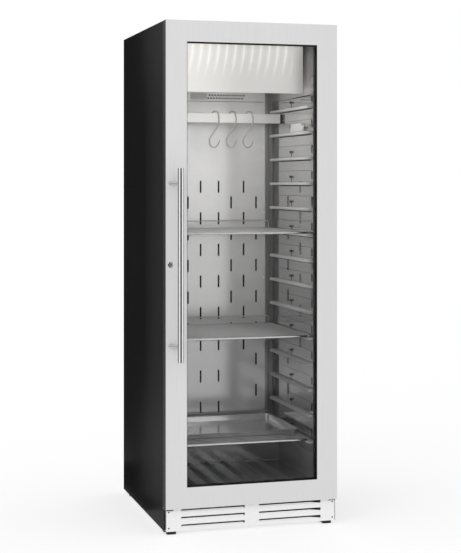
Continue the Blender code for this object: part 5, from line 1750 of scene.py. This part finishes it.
@dataclass
class HangingRail:
    """The flat bar between the racks and its three bent hooks.

    Attributes:
        edge: Width of the rounding on the bar and its saddles.
        hook_first: Where the first hook hangs.
        hook_pitch: Distance from hook to hook.
        hook_height: Height of a hook.
        tip_rise: Height of its tip over its lowest place.
        twist: How far its rear end is aside.
        back_drop: Distance of that end under the bar's upper side.
        return_drop: Height over which the hook comes back under the bar's middle.
        bend: Its bowl, as distances aside and down from the bar's upper side.
        wire: Radius of its wire.
        gap: Distance of the hooks and the saddles from the bar.
        saddle_start: Where the saddles start, from the middle.
        bar_thickness: Thickness of the bar.
        point_spacing: Distance between the points of a hook's centre line.
        smoothings: How often its joints are smoothed.
        tapered: How many points at each end are looked at for a smaller radius.
        tip_share: Radius at the tip, as a share of the wire's.
        start_share: Radius at the other end, as a share of the wire's.
        hooks: How many hooks there are.
    """

    edge: float = 0.0013
    hook_first: float = -0.0020
    hook_pitch: float = 0.0640
    hook_height: float = 0.1360
    tip_rise: float = 0.0300
    twist: float = 0.0190
    back_drop: float = 0.0180
    return_drop: float = 0.0500
    bend: tuple[Spot, ...] = (
        (0.0005, 0.006), (0.0030, 0.020), (0.0005, 0.038), (-0.0090, 0.058), (-0.0225, 0.077),
        (-0.0310, 0.095), (-0.0310, 0.109), (-0.0240, 0.1195), (-0.0135, 0.1233), (-0.0045, 0.119),
        (0.0028, 0.109), (0.0078, 0.098),
    )
    wire: float = 0.0024
    gap: float = 0.0003
    saddle_start: float = 0.2335
    bar_thickness: float = 0.0100
    point_spacing: float = 0.0022
    smoothings: int = 3
    tapered: int = 6
    tip_share: float = 0.25
    start_share: float = 0.6
    hooks: int = 3

    def build(self, frame: Frame) -> None:
        """Builds the bar's finish and the hooks.

        Args:
            frame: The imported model.
        """
        frame.softened("hanging_bar", self.edge, BAR_STEEL)
        low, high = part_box("hanging_bar")
        grow = self.gap
        for side, sign in (("left", -1), ("right", 1)):
            inner, outer = sorted((sign * self.saddle_start, sign * high.x))
            saddle = Piece(f"bar_saddle_{side}")
            saddle.slab((inner, low.y - grow, low.z - grow), (outer, high.y + grow, high.z + grow))
            saddle.make(MOULDED_BLACK, "cabinet", soft=self.edge)
        for index in range(self.hooks):
            self.hook(index)

    def hook(self, index: int) -> None:
        """Builds one hook: over the bar, down its front, then a bowl across it with a sharp tip.

        Args:
            index: Which hook, from the left.
        """
        low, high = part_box("hanging_bar")
        x = self.hook_first + self.hook_pitch * index
        top, bar_height = high.z, high.z - low.z
        y = low.y + self.bar_thickness / 2
        off = self.bar_thickness / 2 + self.wire + 2 * self.gap
        bottom = top + off + self.wire - self.hook_height
        front, back = y - off, y + off
        path = [Vector((x - self.twist, back, top - self.back_drop))]
        for across, rise in arc((0.0, 0.0), off, 180.0, 0.0, 14):
            path.append(Vector((x - self.twist * (off - across) / (2 * off), y - across, top + rise)))
        clear = bar_height + self.wire + self.gap
        bend = []
        for step, drop in self.bend:
            share = min(1.0, max(0.0, (drop - clear) / self.return_drop))
            bend.append((x + step, front + (y - front) * share, top - drop))
        path += curve_through([*bend[:-1], (bend[-1][0], y, bottom + self.tip_rise)], 6)
        path = self.evened(path, self.point_spacing)
        radii = [self.wire] * len(path)
        for step in range(self.tapered):
            radii[-1 - step] = self.wire * (self.tip_share + (1 - self.tip_share) * step / self.tapered)
            radii[step] = self.wire * (self.start_share + (1 - self.start_share) * min(1.0, step / 2))
        hook = Piece(f"hook_wire_{index + 1}")
        hook.wire(path, radii, 14)
        hook.make(HOOK_WIRE, f"hook_{index + 1}", f"meat_hook_{index + 1}", angle=60.0)

    def evened(self, path: Sequence[Vector], step: float) -> list[Vector]:
        """Spaces a path's points evenly and smooths its joints.

        Args:
            path: The path.
            step: The distance between points.

        Returns:
            The new path.
        """
        points = [path[0]]
        left = step
        for start, end in zip(path, path[1:]):
            length = (end - start).length
            done = 0.0
            while length - done >= left:
                done += left
                points.append(start.lerp(end, done / length))
                left = step
            left -= length - done
        points.append(path[-1])
        for _ in range(self.smoothings):
            points = [
                points[0],
                *[(a + b * 2 + c) / 4 for a, b, c in zip(points, points[1:], points[2:])],
                points[-1],
            ]
        return points


@dataclass
class WireShelves:
    """The three welded wire shelves.

    Attributes:
        rod: Radius of the frame's rod.
        wire: Radius of the other wires.
        corner: Radius of the frame's bends.
        wires: How many wires run across.
        spread: Where the two wires from front to back are, from the middle.
        stop_height: Height of the stop at the rear.
        stop_bend: Radius of its bends.
        sink: How far the wires are welded into each other.
    """

    rod: float = 0.0045
    wire: float = 0.0018
    corner: float = 0.0120
    wires: int = 18
    spread: float = 0.1600
    stop_height: float = 0.0300
    stop_bend: float = 0.0060
    sink: float = 0.0003

    def build(self) -> None:
        """Builds each shelf on its own body."""
        for name in ("shelf_upper", "shelf_middle", "shelf_lower"):
            self.shelf(name)

    def shelf(self, name: str) -> None:
        """Builds one shelf.

        Args:
            name: Its node and body.
        """
        low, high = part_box(name)
        z = low.z + self.rod
        front, rear = low.y + self.rod, high.y - self.rod
        reach = high.x - self.rod
        shelf = Piece(f"{name}_wires")
        corners = [(reach, rear, z), (-reach, rear, z), (-reach, front, z), (reach, front, z)]
        shelf.wire(filleted(corners, self.corner, 8, closed=True), self.rod, 16, closed=True)
        shelf.make(BRIGHT_WIRE, name, name, angle=50.0)
        shelf = Piece(f"{name}_bars")
        wire_z = z + self.rod / 2
        span = rear - front - 2 * self.corner
        for index in range(self.wires):
            y = front + self.corner + span * index / (self.wires - 1)
            shelf.rod((-reach, y, wire_z), (reach, y, wire_z), self.wire, 10)
        under = wire_z - 2 * self.wire + self.sink
        for sign in (-1, 1):
            shelf.rod((sign * self.spread, front, under), (sign * self.spread, rear, under), self.wire, 10)
        turn, top = reach - self.corner, z + self.stop_height
        stop = [(-turn, rear, z), (-turn, rear, top), (turn, rear, top), (turn, rear, z)]
        shelf.wire(filleted(stop, self.stop_bend, 6), self.wire, 10)
        shelf.make(DULL_WIRE, name, angle=50.0)


@dataclass
class DripTray:
    """The polished tray: sloping walls, round corners, a rolled lip and a drain."""

    sheet: float = 0.0012
    lip: float = 0.0080
    taper: float = 0.0060
    corner: float = 0.0160
    least_corner: float = 0.0030
    drain: Spot = (0.108, 0.0325)
    drain_radius: float = 0.0050

    def build(self) -> None:
        """Builds the tray, with its section given from the underside out to the lip and back inside."""
        low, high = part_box("drip_tray")
        tray = Piece("drip_tray_pan")
        top, sheet, wide = high.z, self.sheet, self.lip
        foot = wide + self.taper
        section = [
            (foot + 0.0030, low.z), (foot + 0.0008, low.z + 0.0008), (foot, low.z + 0.0030),
            (wide + 0.0012, top - sheet - 0.0016), (wide - 0.0004, top - sheet),
            (0.0012, top - sheet), (0.0004, top - sheet - 0.0006), (0.0, top - 0.0004),
            (0.0006, top), (wide, top), (wide + 0.0018, top - 0.0010),
            (foot + sheet, low.z + 0.0042), (foot + sheet + 0.0012, low.z + 0.0018),
            (foot + sheet + 0.0040, low.z + sheet),
        ]
        rings = []
        for inset, z in section:
            radius = max(self.least_corner, self.corner - inset * 0.5)
            outline = rounded((low.x + inset, low.y + inset), (high.x - inset, high.y - inset), radius, 6)
            rings.append([tray.mesh.verts.new((x, y, z)) for x, y in outline])
        tray.skin(rings, ends=False)
        rims = []
        for row, z in ((rings[0], low.z), (rings[-1], low.z + sheet)):
            rim = [tray.mesh.verts.new((x, y, z)) for x, y in circle(self.drain, self.drain_radius, 24)]
            edges = [
                tray.mesh.edges.get((a, b)) or tray.mesh.edges.new((a, b))
                for loop in (row, rim) for a, b in zip(loop, loop[1:] + loop[:1])
            ]
            bmesh.ops.triangle_fill(tray.mesh, use_beauty=True, use_dissolve=False, edges=edges)
            rims.append(rim)
        tray.skin(rims, ends=False)
        tray.make(TRAY_SHEET, "drip_tray", "drip_tray", angle=50.0)


@dataclass
class RibbedFloor:
    """The ribbed sheet on the floor of the cabinet.

    Attributes:
        sheet: Thickness of the sheet.
        ridges: How many ridges it has.
        pitch: Distance from ridge to ridge.
        width: Width of a ridge.
        bead: Radius of the white bead along its rear edge, a painted highlight on that edge.
        bead_rise: Height of the bead's middle over the sheet, as a share of its radius.
        samples: Pieces in which the sheet's section is drawn.
    """

    sheet: float = 0.0012
    ridges: int = 6
    pitch: float = 0.0660
    width: float = 0.0440
    bead: float = 0.0014
    bead_rise: float = 0.4
    samples: int = 330

    def build(self) -> None:
        """Builds the sheet with smooth ridges from front to back."""
        low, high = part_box("corrugated_floor")
        rise = high.z - low.z - self.sheet
        upper = []
        crests = [self.pitch * (ridge - (self.ridges - 1) / 2) for ridge in range(self.ridges)]
        for index in range(self.samples + 1):
            x = low.x + (high.x - low.x) * index / self.samples
            nearest = min(abs(x - crest) for crest in crests)
            bulge = (1 + math.cos(math.pi * min(1.0, 2 * nearest / self.width))) / 2
            upper.append((x, low.z + self.sheet + rise * bulge))
        lower = [(x, z - self.sheet) for x, z in reversed(upper)]
        floor = Piece("ribbed_floor_sheet")
        floor.plate([*upper, *lower], Across.Y, low.y, high.y)
        floor.make(FLOOR_SHEET, "cabinet", "corrugated_floor", angle=40.0)
        # A white bead along the rear edge: a painted highlight of that edge.
        bead = Piece("ribbed_floor_painted_highlight")
        path = [(x, high.y - self.bead, z + self.bead * self.bead_rise) for x, z in upper[3:-3:3]]
        bead.wire([Vector(place) for place in path], self.bead, 8)
        bead.make(MOULDED_WHITE, "cabinet", angle=60.0)


@dataclass
class WallFittings:
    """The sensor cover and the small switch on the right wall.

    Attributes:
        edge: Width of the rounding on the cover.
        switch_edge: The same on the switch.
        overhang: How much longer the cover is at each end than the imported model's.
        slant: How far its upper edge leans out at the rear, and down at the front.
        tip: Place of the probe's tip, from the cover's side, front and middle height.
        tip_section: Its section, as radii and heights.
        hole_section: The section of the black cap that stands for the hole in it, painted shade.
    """

    edge: float = 0.0016
    switch_edge: float = 0.0015
    overhang: float = 0.016
    slant: Spot = (0.004, 0.010)
    tip: Place = (0.006, 0.0145, 0.002)
    tip_section: tuple[Spot, ...] = (
        (0.0058, 0.0), (0.0058, 0.004), (0.0050, 0.008), (0.0030, 0.0105), (0.0, 0.0115),
    )
    hole_section: tuple[Spot, ...] = ((0.0030, 0.0100), (0.0030, 0.0108), (0.0, 0.0118))

    def build(self, frame: Frame) -> None:
        """Builds both fittings.

        Args:
            frame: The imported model.
        """
        low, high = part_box("air_sensor")
        cover = Piece("air_sensor_cover")
        front, rear = low.y - self.overhang, high.y + self.overhang
        rear_cut, front_cut = self.slant
        outline = [
            (front, low.z), (rear, low.z), (high.y + rear_cut, high.z), (low.y, high.z),
            (front, high.z - front_cut),
        ]
        cover.plate(outline, Across.X, low.x, high.x)
        cover.make(SENSOR_GREY, "cabinet", "air_sensor", soft=self.edge)
        inset, reach, drop = self.tip
        place = (high.x - inset, low.y - reach, (low.z + high.z) / 2 - drop)
        probe = Piece("air_sensor_tip")
        probe.turned(self.tip_section, place, FORWARD, 28)
        probe.make(SENSOR_GREY, "cabinet")
        # A black cap in the probe's tip: painted shade of its hole.
        hole = Piece("air_sensor_painted_shade_hole")
        hole.turned(self.hole_section, place, FORWARD, 24)
        hole.make(MOULDED_BLACK, "cabinet")
        frame.softened("door_sensor", self.switch_edge, SENSOR_GREY)


@dataclass
class MachineRoom:
    """The cooling machinery behind the base: compressor, condenser, fan, tray and module."""

    tray_edge: float = 0.0006
    module_edge: float = 0.0020

    def dress(self, frame: Frame) -> None:
        """Gives the machinery its finishes and soft edges.

        Args:
            frame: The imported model.
        """
        frame.softened("compressor", 0.0, angle=50.0)
        frame.softened_all(("condenser_coil", "condenser_fan_frame", "condenser_fan_rotor"), 0.0, angle=40.0)
        frame.softened("condensate_tray", self.tray_edge, segments=2)
        frame.softened("control_module", self.module_edge)


@dataclass(frozen=True)
class Lamp:
    """A soft lamp that the camera doesn't see.

    Attributes:
        name: Its name.
        place: Where it stands.
        target: What it points at.
        size: Its width and height.
        power: Its power in watts.
        colour: Its colour.
        mirrored: Whether bright metal shows it.
    """

    name: str
    place: Place
    target: Place
    size: Spot
    power: float
    colour: Colour
    mirrored: bool = False

    def build(self) -> None:
        """Adds the lamp."""
        light = bpy.data.lights.new(self.name, "AREA")
        light.shape = "RECTANGLE"
        light.size, light.size_y = self.size
        light.energy = self.power
        light.color = self.colour
        lamp = bpy.data.objects.new(self.name, light)
        lamp.location = self.place
        lamp.rotation_euler = (Vector(self.target) - Vector(self.place)).to_track_quat("-Z", "Y").to_euler()
        lamp.visible_camera = False
        lamp.visible_glossy = self.mirrored
        bpy.context.scene.collection.objects.link(lamp)


@dataclass(frozen=True)
class Card:
    """A dark card beside the set, which the camera doesn't see but bright metal does.

    Attributes:
        name: Its name.
        low: One corner.
        high: The corner across from it.
    """

    name: str
    low: Place
    high: Place

    def build(self, material: bpy.types.Material) -> None:
        """Adds the card, upright or flat on the floor.

        Args:
            material: Its material.
        """
        (x0, y0, z0), (x1, y1, z1) = self.low, self.high
        places = ((x0, y0, z0), (x1, y1, z0), (x1, y1, z1), (x0, y0, z1))
        if z0 == z1:
            places = ((x0, y0, z0), (x1, y0, z0), (x1, y1, z0), (x0, y1, z0))
        mesh = bmesh.new()
        mesh.faces.new([mesh.verts.new(place) for place in places])
        card = placed(f"studio_flag_{self.name}", mesh, material)
        card.visible_camera = False
        card.visible_shadow = False
        card.visible_diffuse = False


INNER_LAMPS = (
    Lamp("unit_light", (-0.05, -0.06, 1.456), (-0.02, 0.16, 0.95), (0.30, 0.16), 0.6, (1.0, 0.98, 0.95)),
    Lamp("room_light", (0.0, -0.212, 1.10), (0.0, 0.30, 1.10), (0.40, 0.60), 1.9, (1.0, 0.99, 0.97)),
    Lamp("gap_light", (0.2112, -0.175, 1.54), (0.245, -0.175, 1.54), (0.07, 0.15), 0.045, (1.0, 0.98, 0.95)),
    Lamp("bar_light", (0.0, -0.206, 1.430), (0.0, 0.30, 1.39), (0.40, 0.04), 0.7, (1.0, 0.98, 0.95)),
    Lamp("floor_light", (0.06, -0.200, 0.27), (0.06, -0.13, 0.13), (0.34, 0.03), 0.05, (1.0, 0.99, 0.97)),
)
KEY_LAMP = Lamp("key_light", (-2.6, -2.6, 2.8), (0.0, 0.0, 0.9), (1.8, 1.8), 18.0, grey(1.0), mirrored=True)
CARDS = (
    Card("left", (-2.83, 0.00, 0.02), (-1.10, 2.50, 1.70)),
    Card("front", (-1.98, -3.02, 0.02), (-0.60, -3.54, 1.35)),
    Card("near", (-0.36, -1.00, 0.45), (0.01, -1.00, 1.22)),
    Card("side", (-0.40, 0.34, 0.003), (-0.40, 3.20, 2.90)),
    Card("ground", (-0.40, 0.05, 0.003), (-0.31, 0.90, 0.003)),
)


@dataclass
class Studio:
    """The pale floor, the even light, the lamps of the cabinet itself and the camera.

    Attributes:
        eye: Where the camera stands.
        turn: How far it is turned to the right, negative, in radians.
        focal_pixels: Its focal length in pixels of the picture.
        width_pixels: The picture's width.
        film_width: The width of the camera's film, in millimetres.
        horizon_shift: How far the horizon is above the picture's middle, in pixels.
        clip: How far the camera sees.
        backdrop: Brightness of the backdrop.
        air: Brightness of the even light.
        floor_reach: Half the floor's width.
        floor_paint: Tone of the floor.
        floor_glow: Its own brightness.
        card_tone: Tone of the cards.
        card_gloss: Their roughness.
        strip_power: Power of the lamp along the light strip, in watts.
        strip_drop: How far it hangs under the strip.
        strip_target: How far it points back from the strip, and the height that it points at.
        strip_width: Its width.
    """

    eye: Place = (-1.3362, -4.6814, 1.159)
    turn: float = -0.2803
    focal_pixels: float = 1375.267
    width_pixels: float = 461.0
    film_width: float = 36.0
    horizon_shift: float = 94.5
    clip: float = 60.0
    backdrop: float = 1.0
    air: float = 0.9
    floor_reach: float = 9.0
    floor_paint: float = 0.42
    floor_glow: float = 0.62
    card_tone: float = 0.02
    card_gloss: float = 0.9
    strip_power: float = 0.16
    strip_drop: float = 0.004
    strip_target: Spot = (0.12, 1.2)
    strip_width: float = 0.012

    def build(self) -> None:
        """Builds the whole studio."""
        self.sky()
        self.floor()
        self.lamps()
        self.cards()
        self.camera()
        bpy.context.scene.view_settings.view_transform = "Standard"

    def sky(self) -> None:
        """Makes the even light, with a whiter backdrop where the camera, a gloss or a glass meets it."""
        world = bpy.data.worlds.new("studio_air")
        bpy.context.scene.world = world
        wiring = Wiring(world)
        path = wiring.node("ShaderNodeLightPath")
        seen = path.outputs["Is Camera Ray"]
        for name in ("Is Glossy Ray", "Is Transmission Ray"):
            seen = wiring.math("ADD", seen, path.outputs[name], clamped=True)
        light, white = (
            wiring.node("ShaderNodeBackground", color=WHITE, strength=strength).outputs["Background"]
            for strength in (self.air, self.backdrop)
        )
        mix = wiring.node("ShaderNodeMixShader", seen, light, white)
        wiring.node("ShaderNodeOutputWorld", surface=mix.outputs["Shader"])

    def floor(self) -> None:
        """Makes the pale floor, which keeps the cabinet's soft shadow."""
        mesh = bmesh.new()
        bmesh.ops.create_grid(mesh, x_segments=4, y_segments=4, size=self.floor_reach)
        material = bpy.data.materials.new("studio_floor_paint")
        wiring = Wiring(material)
        paint = wiring.node("ShaderNodeBsdfDiffuse", color=(*grey(self.floor_paint), 1.0))
        glow = wiring.node("ShaderNodeEmission", color=WHITE, strength=self.floor_glow)
        both = wiring.node("ShaderNodeAddShader", paint.outputs["BSDF"], glow.outputs["Emission"])
        wiring.node("ShaderNodeOutputMaterial", surface=both.outputs["Shader"])
        placed("studio_floor", mesh, material)

    def lamps(self) -> None:
        """Adds the lamp along the light strip, the others inside the cabinet and one large soft lamp."""
        low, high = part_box("light_strip")
        middle = (low.y + high.y) / 2
        back, height = self.strip_target
        strip = Lamp(
            "strip_light", (0.0, middle, low.z - self.strip_drop), (0.0, middle + back, height),
            (high.x - low.x, self.strip_width), self.strip_power, (1.0, 0.97, 0.92),
        )
        for lamp in (strip, *INNER_LAMPS, KEY_LAMP):
            lamp.build()

    def cards(self) -> None:
        """Adds the dark cards."""
        cloth = Recipe("studio_flag_cloth")
        cloth.fix(base_color=(*grey(self.card_tone), 1.0), roughness=self.card_gloss)
        for card in CARDS:
            card.build(cloth.material)

    def camera(self) -> None:
        """Sets the camera where the photograph was taken from."""
        data = bpy.data.cameras.new("photo_camera")
        data.sensor_fit = "HORIZONTAL"
        data.sensor_width = self.film_width
        data.lens = self.focal_pixels / self.width_pixels * self.film_width
        data.shift_y = -self.horizon_shift / self.width_pixels
        data.clip_end = self.clip
        camera = bpy.data.objects.new("photo_camera", data)
        camera.location = self.eye
        camera.rotation_euler = (math.pi / 2, 0.0, self.turn)
        bpy.context.scene.collection.objects.link(camera)
        bpy.context.scene.camera = camera


def main() -> None:
    """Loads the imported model, dresses every sub-assembly and sets up the studio."""
    logging.basicConfig(level=logging.INFO, format="%(message)s")
    frame = Frame(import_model())
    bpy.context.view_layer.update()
    Casing().dress(frame)
    InnerBox().dress(frame)
    DoorLeaf().dress(frame)
    PullHandle().build()
    KeyLock().build(frame)
    BaseGrille().build()
    LevelFeet().build()
    AirDuct().build()
    AirUnit().build(frame)
    LadderRack().build()
    HangingRail().build(frame)
    WireShelves().build()
    DripTray().build()
    RibbedFloor().build()
    WallFittings().build(frame)
    MachineRoom().dress(frame)
    Studio().build()


if __name__ == "__main__":
    main()
